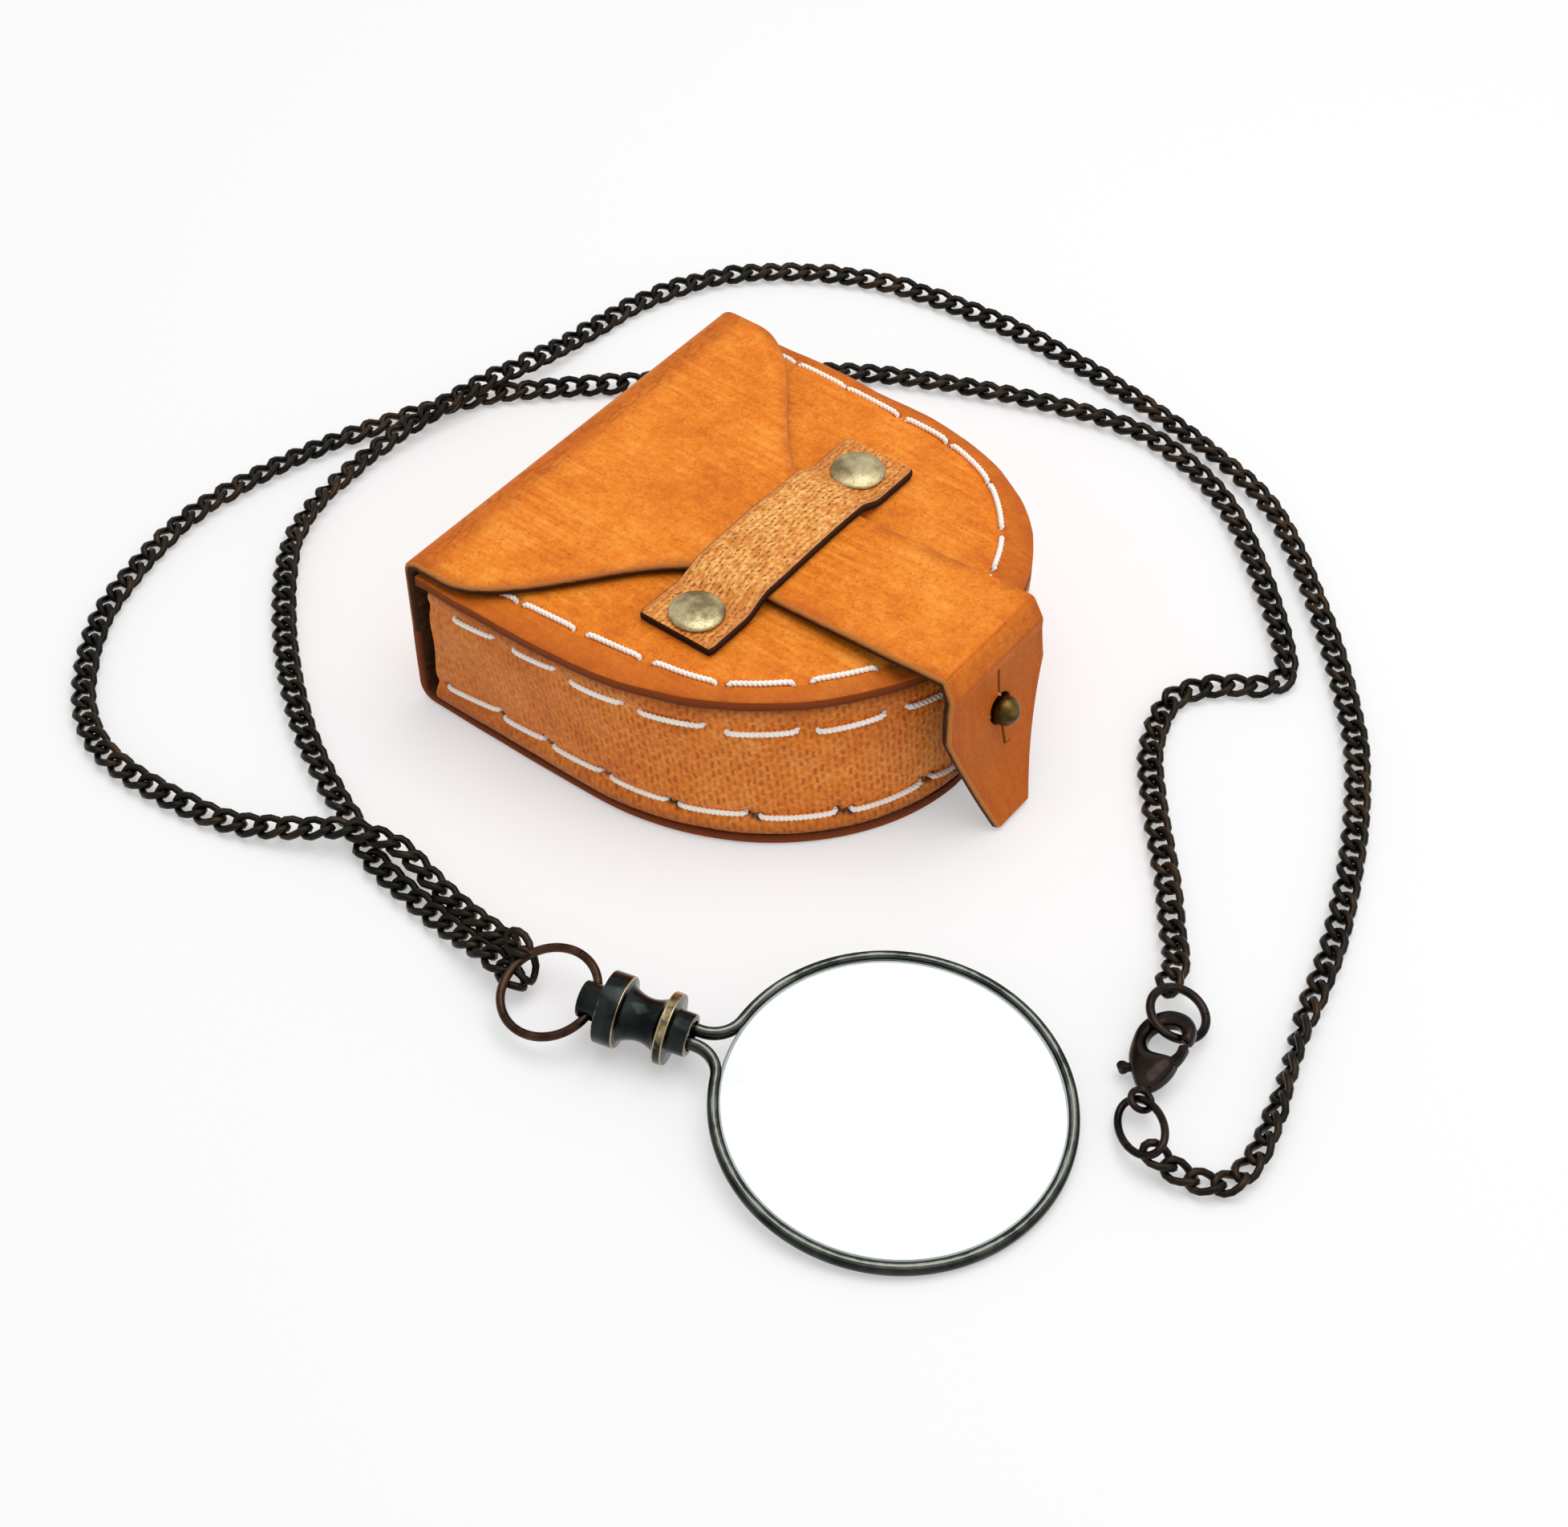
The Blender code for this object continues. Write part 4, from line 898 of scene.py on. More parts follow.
panel = {
    "thickness": 2.6 * mm,
    "along": 420,
    "bulge": 1.1 * mm,
    "bulgeFromEnd": 20.0 * mm,
    "bulgeReach": 11.0 * mm,
    "inset": 0.8 * mm,
    "insetPlace": 124.0 * mm,
    "insetReach": 30.0 * mm,
    "wander": 0.18 * mm,
    "nicks": 0.09 * mm,
    "nickRate": 4.2,
    "spineDraw": 1.5 * mm,
    "spineReach": 40.0 * mm,
    "holeDepth": 0.5 * mm,
    "edgeEase": 0.15 * mm,
    "profile": ((0.00, -0.80), (0.04, -0.62), (0.12, -0.52), (0.30, -0.42), (0.55, -0.30), (0.78, -0.24),
                (0.90, -0.42), (1.00, -0.50), (1.10, -0.40), (1.22, -0.18), (1.45, -0.05), (1.80, 0.00),
                (2.6, 0.02), (3.6, 0.03)),
    "middleShares": (0.7, 0.4, 0.1),
    "borderFade": (0.80, 0.2),
    "underShares": (0.02, 0.9),
    "noseX": 33,
}


def panelEdgeOut(s):  # how far the hand-cut edge stands out from the wall
    bulge = panel["bulge"] * hump(s, wallLength - panel["bulgeFromEnd"], panel["bulgeReach"])
    wander = wobble(s, 21, panel["wander"]) + wobble(s * panel["nickRate"], 77, panel["nicks"])
    return bulge + wander - panel["inset"] * hump(s, panel["insetPlace"], panel["insetReach"])


def makeFrontPanel(rowS, rowInset, holes):
    # rings from the middle of the underside, round the edge, over the stitch groove to the middle of the top
    s = np.linspace(0, wallLength, panel["along"])
    order = np.argsort(rowS)
    inset = np.interp(s, rowS[order], rowInset[order])
    edge = case["wallInset"] + panelEdgeOut(s)
    plain = np.zeros_like(s)
    start, reach = panel["borderFade"]
    top = []
    for share, height in panel["profile"]:
        ring = wallSpot(s, case["depth"], edge - share * inset)
        ring[:, 0] += share * panel["spineDraw"] * np.clip(-ring[:, 0] / panel["spineReach"], 0, 1)
        hollow = holeDepth(ring[:, :2], holes)
        ring[:, 2] = case["depth"] + height * mm - hollow * panel["holeDepth"]
        border = 1.0 - min(max((share - start) / reach, 0), 1)
        top.append((ring, hollow, share * inset, 0.0, border))
    inner = top[-1][0]
    middle = inner.mean(axis=0)
    for share in panel["middleShares"]:
        top.append((middle + (inner - middle) * share, plain, inset * 4, 0.0, 0.0))
    low = top[0][0].copy()
    low[:, 2] = case["depth"] - panel["thickness"] + panel["edgeEase"]
    rimShare, heartShare = panel["underShares"]
    base = low.copy()
    base[:, 2] -= panel["edgeEase"]
    base[:, :2] += (middle - base)[:, :2] * rimShare
    heart = base.copy()
    heart[:, :2] += (middle - base)[:, :2] * heartShare
    under = [(heart, plain, inset * 4, 1.0, 0.0), (base, plain, plain, 1.0, 1.0)]
    under.append((low, plain, plain, 0.8, 1.0))
    stack, hollows, rims, layers, borders = zip(*under, *top)
    piece = loftPiece("frontPanel", stack, [tanHide, panelEdge], 50.0)
    for face in piece.data.polygons:
        rows = {vertex // len(s) for vertex in face.vertices}
        if rows == {2, 3} or rows == {1, 2}:
            face.material_index = 1
    spots = np.array(stack)
    spots[..., 2] = np.array(layers)[:, None]
    dress(piece.data, hide=spots, rim=np.array(rims), hole=np.array(hollows),
          border=np.repeat(borders, len(s)))
    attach(piece, "case")
    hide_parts("front_panel")


gusset = {
    "thickness": 1.5 * mm,
    "along": 520,
    "nearGap": 1.9 * mm,
    "farGap": 1.2 * mm,
    "profile": ((1.72, 0.05), (2.1, 0.55), (2.8, 0.82), (3.6, 0.90), (4.3, 0.60), (4.9, 0.20), (5.5, 0.02),
                (6.1, 0.10), (6.8, 0.32), (8.0, 0.42), (10.0, 0.30), (12.0, 0.12), (14.0, 0.06), (16.0, 0.10),
                (18.0, 0.20), (19.5, 0.26), (20.6, 0.14), (21.3, -0.06), (22.0, -0.10), (22.7, 0.05),
                (23.5, 0.32), (24.5, 0.22), (25.3, -0.05), (25.9, -0.45)),
    "innerHeights": (25.7, 18.0, 10.0, 2.2),
    "rimHeights": (2.0, 25.9),
    "innerRim": 5.0 * mm,
    "holeDepth": 0.9 * mm,
    "tightHoles": 0.4,
    "gapShade": 0.7,
    "swell": 0.16 * mm,
    "ripple": 0.10 * mm,
}


def makeGusset(upper, lower):
    s = np.linspace(gusset["nearGap"], wallLength - gusset["farGap"], gusset["along"])
    tight, loose = ([spot for a, za, b, zb in row for spot in ((a, za), (b, zb))] for row in (upper, lower))
    between = [((a[2] + b[0]) / 2, (a[3] + b[1]) / 2) for a, b in zip(lower, lower[1:])]
    bottom, top = gusset["rimHeights"]
    columns = []
    for z, out in gusset["profile"]:
        grid = np.stack((s, np.full_like(s, z * mm)), axis=-1)
        hollow = np.maximum(gusset["tightHoles"] * holeDepth(grid, tight), holeDepth(grid, loose))
        swell = wobble(s + z * 4 * mm, 31, gusset["swell"]) + wobble(s - z * 2 * mm, 37, gusset["ripple"])
        spots = wallSpot(s, z * mm, out * mm + swell - hollow * gusset["holeDepth"])
        # darkening at the holes and at the gaps between lower stitches: painted shade
        dark = np.maximum(hollow, gusset["gapShade"] * holeDepth(grid, between))
        columns.append((spots, dark, np.full_like(s, min(z - bottom, top - z) * mm), 0.0))
    for z in gusset["innerHeights"]:
        spots = wallSpot(s, z * mm, -gusset["thickness"])
        columns.append((spots, np.zeros_like(s), np.full_like(s, gusset["innerRim"]), 1.0))
    rings, holes, rims, layers = zip(*columns)
    piece = loftPiece("gussetWall", np.stack(rings, axis=1), [wallHide, burntEdge], 70.0, capFinish=1)
    flat = [np.stack((s, ring[:, 2], np.full_like(s, layer)), axis=-1) for ring, layer in zip(rings, layers)]
    dress(piece.data, hide=np.stack(flat, axis=1), rim=np.stack(rims, axis=1), hole=np.stack(holes, axis=1))
    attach(piece, "case")
    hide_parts("gusset")


def stitchTree(finish):
    tree = GeometryTree("saddleStitches", {
        "Thread radius": sewing["threadRadius"],
        "Flatten": sewing["flatten"],
        "Twist": sewing["twist"],
        "Step": sewing["step"],
    })
    row = tree.node("GeometryNodeResampleCurve", {"mode": "LENGTH"},
                    {"Curve": tree.source(), "Length": tree.size("Step")})
    run = tree.node("GeometryNodeSplineParameter", output="Length")
    twisted = tree.node("GeometryNodeSetCurveTilt", {}, {"Curve": row, "Tilt": run * tree.size("Twist")})
    ring = tree.node("GeometryNodeCurvePrimitiveCircle", {"mode": "RADIUS"},
                     {"Resolution": 10, "Radius": tree.size("Thread radius")})
    spot = tree.node("GeometryNodeInputPosition")
    flat = tree.node("ShaderNodeCombineXYZ", {},
                     {0: tree.part(spot, 0), 1: tree.part(spot, 1) * tree.size("Flatten")})
    ply = tree.node("GeometryNodeSetPosition", {}, {"Geometry": ring, "Position": flat})
    thread = tree.node("GeometryNodeCurveToMesh", {},
                       {"Curve": twisted, "Profile Curve": ply, "Fill Caps": True})
    tree.close(thread, finish)
    return tree


def threadLine(spots, normals):  # out of one hole, flat along the leather, into the next
    lift = np.full(len(spots), sewing["lift"])
    for i, height in enumerate(sewing["dive"]):
        lift[i] = height
        lift[-1 - i] = height
    return spots + normals * lift[:, None]


def makeStitches(upper, lower, rowLine, spans):
    shares = np.array(sewing["shares"])
    index = np.arange(len(rowLine))
    lines = []
    for a, za, b, zb in upper + lower:
        s = a + (b - a) * shares
        z = za + (zb - za) * shares
        crown = sewing["crown"] * np.sin(shares * math.pi)
        lines.append(threadLine(wallSpot(s, z, crown), wallOut(s)))
    for first, last in spans:
        picks = first + (last - first) * shares
        x = np.interp(picks, index, rowLine[:, 0])
        y = np.interp(picks, index, rowLine[:, 1])
        spots = np.stack((x, y, np.full_like(x, case["depth"] - sewing["panelSink"])), axis=-1)
        lines.append(threadLine(spots, np.array([(0, 0, 1.0)] * len(x))))
    piece = stitchTree(creamThread()).run("caseStitches", polyCurve("stitchLines", lines))
    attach(piece, "case")


def makeSewnBody():
    upper = wholeRow(upperStitches, sewing["upperHeight"])
    lower = wholeRow(lowerStitches, sewing["lowerHeight"])
    row, rowS, rowInset = panelRowLine()
    tip = row[:, 0].argmax()
    spans = []
    far = False
    for start, end in panelStitches:
        ends = []
        for x in (start, end):
            far = far or x < start
            if not far:
                ends.append(np.interp(x * mm, row[:tip + 1, 0], np.arange(tip + 1)))
            else:
                ends.append(np.interp(-x * mm, -row[tip:, 0], np.arange(tip, len(row))))
        spans.append(ends)
        far = far or end > panel["noseX"]
    index = np.arange(len(row))
    holes = [(np.interp(v, index, row[:, 0]), np.interp(v, index, row[:, 1])) for span in spans for v in span]
    makeFrontPanel(rowS, rowInset, holes)
    makeGusset(upper, lower)
    makeStitches(upper, lower, row, spans)


makeSewnBody()
print("panel, gusset and stitches made")

# Riveted keeper and ball stud
keeper = {
    "thickness": 1.45 * mm,
    "edgeRound": 0.30 * mm,
    "columns": 24,
    "middle": 2.3 * mm,
    "width": 13.4 * mm,
    "length": 51.0 * mm,
    "foot": 28.35 * mm,
    "rise": 2.0 * mm,
    "arch": 11.3 * mm,
    "slope": 6.2 * mm,
    "ripple": (0.18 * mm, 6.5 * mm),
    "cornerEase": (0.3 * mm, 1.3 * mm),
    "nearFlare": (0.7 * mm, 12.0 * mm),
    "edgeWander": 0.14 * mm,
    "rivetSpan": 40.2 * mm,
    "capRadius": 4.35 * mm,
    "capHeight": 1.25 * mm,
    "capShift": -0.5 * mm,
    "capLift": 0.12 * mm,
    "capCut": 0.22,
    "capPower": 0.85,
}


def keeperLeather():
    hide = Finish("keeperLeather", Specular_IOR_Level=0.35)
    spot = hide.attribute("hide", "Vector")
    along, across = (hide.part(spot, index) for index in range(2))
    fine = hide.noise(spot, 1800.0, 3.0)
    tone = hide.noise(spot, 110.0, 2.0)
    blob = hide.cells(hide.stretch(spot, (1000.0, 1250.0, 1.0), 0.3), 1.0)
    waver = (hide.noise(spot, 560.0, 2.0) - 0.5) * (1.5 * mm)
    dash = hide.dashes(across + waver, along - across * 0.35 + waver, 0.90 * mm, 1.0 * mm)
    ends = (along - keeper["length"] / 2).size().step(11 * mm, 19 * mm)
    shade = 0.82 - blob * 0.75 + (fine - 0.5) * 0.25 + (tone - 0.5) * 0.5 - ends * 0.18
    colour = hide.ramp(shade, tones("keeper", 0.20, 0.46, 0.84))
    colour = hide.mix(dash * 0.9, colour, leather["keeperDash"])
    inward = hide.attribute("rim")
    rim = 1.0 - inward.step(0.2 * mm, 1.6 * mm)
    colour = hide.mix(rim * (0.35 + 0.4 * tone), colour, leather["keeperRim"])
    brink = 1.0 - inward.step(0.05 * mm, 0.30 * mm)
    hide.feed("Base Color", hide.mix(brink * 0.9, colour, leather["darkCutAndShade"]))
    hide.feed("Roughness", 0.42 + 0.20 * fine)
    hide.bump(fine * 0.3 - blob * 0.7 - dash, 0.6, 0.00025)
    return hide


def makeKeeper():
    y = np.linspace(-keeper["length"] / 2, keeper["length"] / 2, 150)
    share = np.clip((keeper["arch"] + keeper["slope"] - np.abs(y)) / keeper["slope"], 0, 1)
    z = keeper["foot"] + keeper["thickness"] + keeper["rise"] * (1 - np.cos(math.pi * share)) / 2
    height, wave = keeper["ripple"]
    z = z + height * np.cos(y / wave) * share
    line = HideLine(np.stack((y, z), axis=-1))
    half = np.full_like(y, keeper["width"] / 2)
    ease, reach = keeper["cornerEase"]
    half -= ease * np.clip((np.abs(y) - keeper["length"] / 2 + reach) / reach, 0, 1) ** 2
    flare, start = keeper["nearFlare"]
    low = -half + wobble(line.along, 41, keeper["edgeWander"]) - flare * np.clip((-y - start) / start, 0, 1)
    high = half + wobble(line.along, 43, keeper["edgeWander"])
    piece = leatherStrip("strapKeeper", line, low, high, keeper, [keeperLeather(), blackEdge])
    co = meshSpots(piece.data)[:, [1, 0, 2]] + (keeper["middle"], 0, 0)
    piece.data.vertices.foreach_set("co", co.reshape(-1))
    finishMesh(piece.data, 60.0)
    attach(piece, "case")
    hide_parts("strap_keeper")


def capTree(finish):
    tree = GeometryTree("domedCaps", {
        "Cap radius": keeper["capRadius"],
        "Cap height": keeper["capHeight"],
    })
    ball = tree.node("GeometryNodeMeshUVSphere", {}, {"Segments": 48, "Rings": 28, "Radius": 1.0})
    spot = tree.node("GeometryNodeInputPosition")
    crown = (tree.part(spot, 2) + keeper["capCut"]).most(0.0) / (1 + keeper["capCut"])
    crown = crown ** keeper["capPower"]
    dome = tree.node("ShaderNodeCombineXYZ", {},
                     {0: tree.part(spot, 0) * tree.size("Cap radius"),
                      1: tree.part(spot, 1) * tree.size("Cap radius"),
                      2: crown * tree.size("Cap height")})
    cap = tree.node("GeometryNodeSetPosition", {}, {"Geometry": ball, "Position": dome})
    caps = tree.node("GeometryNodeInstanceOnPoints", {}, {"Points": tree.source(), "Instance": cap})
    tree.close(caps, finish)
    return tree


def makeRivets(brass):
    z = keeper["foot"] + keeper["thickness"] + keeper["capLift"]
    spots = []
    for side in (-1, 1):
        spots.append((keeper["middle"], side * keeper["rivetSpan"] / 2 + keeper["capShift"], z))
    mesh = bpy.data.meshes.new("rivetSpots")
    mesh.from_pydata(spots, [], [])
    piece = capTree(brass).run("rivetCaps", linkPiece("rivetSpots", mesh))
    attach(piece, "case")
    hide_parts("rivet_cap_near", "rivet_cap_far")


def agedBrass(name, dark, mid, light, rough):
    brass = Finish(name, Metallic=1.0)
    where = brass.place()
    stain = brass.noise(where, 240.0, 4.0, 0.6)
    pits = brass.cells(where, 1900.0).step(0.05, 0.35)
    fine = brass.noise(where, 2600.0, 2.0)
    colour = brass.ramp(stain, ((0.34, dark), (0.52, mid), (0.68, light)))
    brass.feed("Base Color", brass.mix((1.0 - pits) * 0.6, colour, dark))
    brass.feed("Roughness", rough + 0.22 * fine)
    brass.bump(pits * 0.5 + fine * 0.3 + stain * 0.8, 0.25, 0.0002)
    return brass


def lathePiece(name, profile, place, finishes, steps=72, sharp=35.0):
    # turns (height, radius) about local Z
    turns = np.linspace(0, math.tau, steps, endpoint=False)
    rings = []
    for height, radius in profile:
        ring = (radius * np.cos(turns), radius * np.sin(turns), np.full(steps, height))
        rings.append(np.stack(ring, axis=-1))
    return loftPiece(name, moved(np.array(rings) * mm, place), finishes, sharp)


def moved(points, place):
    return np.asarray(points) @ np.array(place.to_3x3()).T + np.array(place.translation)


stud = {
    "place": (38.2 * mm, 0.0, 19.0 * mm),
    "shank": ((-3.2, 0.01), (-3.2, 1.5), (0.0, 1.6), (0.0, 3.4), (0.15, 3.5), (0.55, 3.5), (0.8, 3.2),
              (0.9, 1.9), (1.4, 1.6)),
    "neckRadius": 1.6,
    "ballRadius": 2.35,
    "ballReach": 6.6,
    "ballSteps": 24,
}


def makeStud(brass):
    neck = math.acos(stud["neckRadius"] / stud["ballRadius"])
    profile = list(stud["shank"])
    for i in range(stud["ballSteps"] + 1):
        turn = -neck + (math.pi / 2 + neck) * i / stud["ballSteps"]
        radius = max(stud["ballRadius"] * math.cos(turn), 0.01)
        profile.append((stud["ballReach"] + stud["ballRadius"] * math.sin(turn), radius))
    place = Matrix.Translation(stud["place"]) @ Matrix.Rotation(math.pi / 2, 4, "Y")
    piece = lathePiece("closingStud", profile, place, [brass])
    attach(piece, "case")
    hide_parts("closing_stud")


rivetBrass = agedBrass("rivetBrass", (0.22, 0.165, 0.08), (0.46, 0.39, 0.22), (0.63, 0.56, 0.36), 0.32)
studBrass = agedBrass("studBrass", (0.06, 0.035, 0.010), (0.15, 0.095, 0.024), (0.26, 0.17, 0.05), 0.24)
makeKeeper()
makeRivets(rivetBrass)
makeStud(studBrass)
print("keeper, rivets and stud made")

# Lens: grooved wire rim, glass and turned handle, in the lens's own frame
lens = {
    "pivot": (24.8 * mm, -72.7 * mm, 6.1885 * mm),
    "turn": (-3.4, -3.783, 197.0),
    "centreX": -45.5,
    "rimRadius": 25.1,
    "wireRadius": 0.9,
    "wireSquare": 2.6,
    "wireGrow": 1.02,
    "throatRadius": 5.0,
    "tailY": 1.2,
    "tailEnd": -11.2,
    "grooveDepth": 0.16,
    "grooveReach": 0.24,
    "lowerGroove": 0.6,
    "reflectedTop": (0.85, 0.42),
    "seatDepth": 0.5,
    "seatReach": 0.5,
    "glassRadius": 24.7,
    "glassEdge": 1.5,
    "glassCentre": 4.6,
    "bevel": 0.55,
    "glassRows": 24,
    "glassSteps": 128,
}
lensFrame = placed(lens["pivot"], lens["turn"])


def sweepPiece(name, path, section, place, finish, sharp=50.0):
    # carries a closed section (side, up) along a path in the local XY plane
    path = np.asarray(path, float)
    ahead = np.gradient(path, axis=0)
    ahead /= np.linalg.norm(ahead, axis=1)[:, None]
    up = np.array((0.0, 0.0, 1.0))
    side = np.cross(up, ahead)
    side /= np.linalg.norm(side, axis=1)[:, None]
    right, rise = np.asarray(section, float).T[..., None]
    rings = path[:, None] + side[:, None] * right + up * rise
    return loftPiece(name, moved(rings * mm, place), [finish], sharp)


def rimPath():
    radius, throat, tailY = lens["rimRadius"], lens["throatRadius"], lens["tailY"]
    throatY = tailY + throat
    throatX = math.sqrt((radius + throat) ** 2 - throatY ** 2)
    meet = math.atan2(throatY, throatX)
    tail = lens["tailEnd"] - lens["centreX"]
    half = [(tail + (throatX - tail) * i / 6, tailY) for i in range(6)]
    for i in range(17):
        turn = -math.pi / 2 - (math.pi / 2 - meet) * i / 16
        half.append((throatX + throat * math.cos(turn), throatY + throat * math.sin(turn)))
    circle = []
    for i in range(1, 180):
        turn = meet + (math.tau - 2 * meet) * i / 180
        circle.append((radius * math.cos(turn), radius * math.sin(turn)))
    back = [(x, -y) for x, y in reversed(half)]
    return [(lens["centreX"] + x, y, 0) for x, y in half + circle + back]


def rimSection():  # a squarish wire, grooved above and below, with a seat for the glass
    power = lens["wireSquare"]
    section = []
    for i in range(32):
        turn = math.tau * i / 32
        across = math.cos(turn)
        up = math.sin(turn)
        radius = lens["wireRadius"] * (abs(across) ** power + abs(up) ** power) ** (-1 / power)
        radius -= lens["grooveDepth"] * hump(turn, math.pi / 2, lens["grooveReach"])
        radius -= lens["grooveDepth"] * lens["lowerGroove"] * hump(turn, 1.5 * math.pi, lens["grooveReach"])
        radius -= lens["seatDepth"] * hump(abs(turn - math.pi), math.pi, lens["seatReach"])
        section.append((radius * across * lens["wireGrow"], radius * up * lens["wireGrow"]))
    return section


def darkMetal(name, base, tint, rough, wornAndSheen=None):
    metal = Finish(name, Metallic=0.92)
    where = metal.place()
    cloud = metal.noise(where, 220.0, 3.0, 0.55)
    fine = metal.noise(where, 2400.0, 3.0)
    colour = metal.ramp(cloud, ((0.36, base), (0.64, tint)))
    shine = fine * 0.16 + cloud * 0.12 + (rough - 0.14)
    if wornAndSheen:
        # the lighter colour follows the attribute: real wear on the handle's edges, painted reflection of the
        # sky on the rim wire's top
        wear = metal.attribute("wear")
        rubAndSheen = (wear + (cloud - 0.5) * 0.9 + (metal.noise(where, 900.0, 3.0) - 0.5) * 0.3).step(0.50, 0.80)
        colour = metal.mix(rubAndSheen, colour, wornAndSheen)
    metal.feed("Base Color", colour)
    metal.feed("Roughness", shine)
    metal.bump(fine * 0.5 + cloud, 0.18, 0.00012)
    return metal


def makeRim():
    metal = darkMetal("rimGunmetal", (0.010, 0.012, 0.010), (0.034, 0.038, 0.032), 0.24, (0.17, 0.18, 0.155))
    section = rimSection()
    path = rimPath()
    piece = sweepPiece("lensRim", path, section, lensFrame, metal, 70.0)
    # a lighter band along the wire's grooved top: painted reflection of the sky
    most, reach = lens["reflectedTop"]
    band = [most * hump(math.atan2(up, side), math.pi / 2, reach) for side, up in section]
    dress(piece.data, wear=np.tile(band, len(path)))
    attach(piece, "lens")
    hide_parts("lens_rim")


def makeGlass():
    glass = Finish("clearGlass", Base_Color=(0.985, 1.0, 0.992, 1.0), Roughness=0.0, IOR=1.5,
                   Transmission_Weight=1.0)
    face = lens["glassRadius"] - lens["bevel"]
    sag = (lens["glassCentre"] - lens["glassEdge"]) / 2
    curve = (face ** 2 + sag ** 2) / (2 * sag)
    rows = lens["glassRows"]
    steps = lens["glassSteps"]
    front = []
    for i in range(rows + 1):
        radius = max(face * i / rows, 0.02)
        front.append((lens["glassCentre"] / 2 - curve + math.sqrt(curve ** 2 - radius ** 2), radius))
    land = lens["glassEdge"] / 2 - lens["bevel"]
    profile = front + [(land, lens["glassRadius"]), (-land, lens["glassRadius"])]
    profile += [(-height, radius) for height, radius in reversed(front)]
    place = lensFrame @ Matrix.Translation((lens["centreX"] * mm, 0, 0))
    edge = Finish("groundGlassEdge", Base_Color=(0.45, 0.55, 0.52, 1.0), Roughness=0.35, IOR=1.5,
                  Transmission_Weight=0.7)
    piece = lathePiece("lensGlass", profile, place, [glass, edge], steps, sharp=25.0)
    ground = range(rows, rows + 4)
    for face in piece.data.polygons:
        if all(vertex // steps in ground for vertex in face.vertices):
            face.material_index = 1
    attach(piece, "lens")
    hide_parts("lens_glass")


handle = {
    "steps": 96,
    "crossHole": 1.3 * mm,
    "crossReach": 9 * mm,
    "crossTurn": 80.0,
    "flangeRadius": 5.4 * mm,
    "flangeBrassRise": (0.42, 0.36),
    # (place, radius, wear) from the stub's end to the collar's mouth and down its bore;
    # nan marks the flange, where the brass colour shows more the higher it lies
    "profile": (
        (1.80, 0.01, 0), (1.80, 2.35, 0.1), (1.72, 2.58, 0.7), (1.50, 2.75, 0.4), (-1.55, 2.75, 0),
        (-1.74, 2.80, 0), (-1.80, 3.05, 0), (-1.80, 5.05, 0), (-1.84, 5.26, 0.5), (-1.96, 5.40, 0.5),
        (-2.20, 5.42, 0.1), (-4.72, 5.42, 0.1), (-4.90, 5.40, 1.1), (-5.00, 5.26, 1.1), (-5.02, 5.05, 0.1),
        (-5.10, 4.50, 0), (-5.30, 4.20, 0), (-5.80, 3.86, 0), (-6.60, 3.52, 0), (-7.40, 3.32, 0.05),
        (-8.05, 3.27, 0.1), (-8.70, 3.32, 0.05), (-9.50, 3.52, 0), (-10.30, 3.86, 0), (-10.80, 4.22, 0),
        (-11.00, 4.60, 0), (-11.08, 5.10, 0.1), (-11.12, 5.30, 1.0), (-11.22, 5.36, 1.0),
        (-11.34, 5.36, math.nan), (-12.26, 5.36, math.nan), (-12.38, 5.36, 1.0), (-12.46, 5.30, 1.0),
        (-12.49, 5.10, 0.1), (-12.50, 3.60, 0), (-12.62, 3.32, 0), (-12.85, 3.22, 0.1), (-14.95, 3.20, 0.15),
        (-15.12, 3.14, 0.9), (-15.20, 2.95, 0.6), (-15.20, 2.35, 0.1), (-9.30, 2.30, 0), (-9.20, 0.01, 0),
    ),
}


def makeHandle():
    metal = darkMetal("handleOxide", (0.006, 0.008, 0.008), (0.026, 0.032, 0.030), 0.22, (0.44, 0.34, 0.18))
    place = lensFrame @ Matrix.Rotation(math.pi / 2, 4, "Y")
    profile = [(along, radius) for along, radius, wear in handle["profile"]]
    piece = lathePiece("turnedHandle", profile, place, [metal], handle["steps"], sharp=40.0)
    wear = np.repeat([wear for along, radius, wear in handle["profile"]], handle["steps"])
    upper = (meshSpots(piece.data)[:, 2] - lens["pivot"][2]) / handle["flangeRadius"]
    low, rise = handle["flangeBrassRise"]
    dress(piece.data, wear=np.where(np.isnan(wear), low + rise * upper, wear))
    hole = lensFrame @ placed((0, 0, 0), (handle["crossTurn"], 0, 0))
    axis = hole.to_3x3() @ Vector((0, 0, 1))
    cutPiece(piece, [rodTool(handle["crossHole"], handle["crossReach"], hole.translation, axis)])
    finishMesh(piece.data, 40.0)
    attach(piece, "lens")
    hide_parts("handle_spool")


# Wire rings: half sizes, wire, the gap of the butt joint, and how each one lies
wireRings = {
    "bail": {"half": (7.3, 7.2), "wire": 0.68, "joint": 250.0, "gap": 0.5,
             "turn": (-10.0, 12.0, 0.0), "bend": 7.0, "stub": 2.75},
    "upper": {"half": (4.3, 4.3), "wire": 0.68, "joint": 25.0, "gap": 1.2,
              "place": (1.15 * mm, 16.3 * mm, 0), "swing": 36.0},
    "lower": {"half": (3.1, 5.5), "wire": 0.58, "joint": 200.0, "gap": 1.0,
              "place": (0.5 * mm, -4.6 * mm, 0), "swing": -45.0, "turn": (2.0, 14.0, 27.9), "roll": 30.0},
}


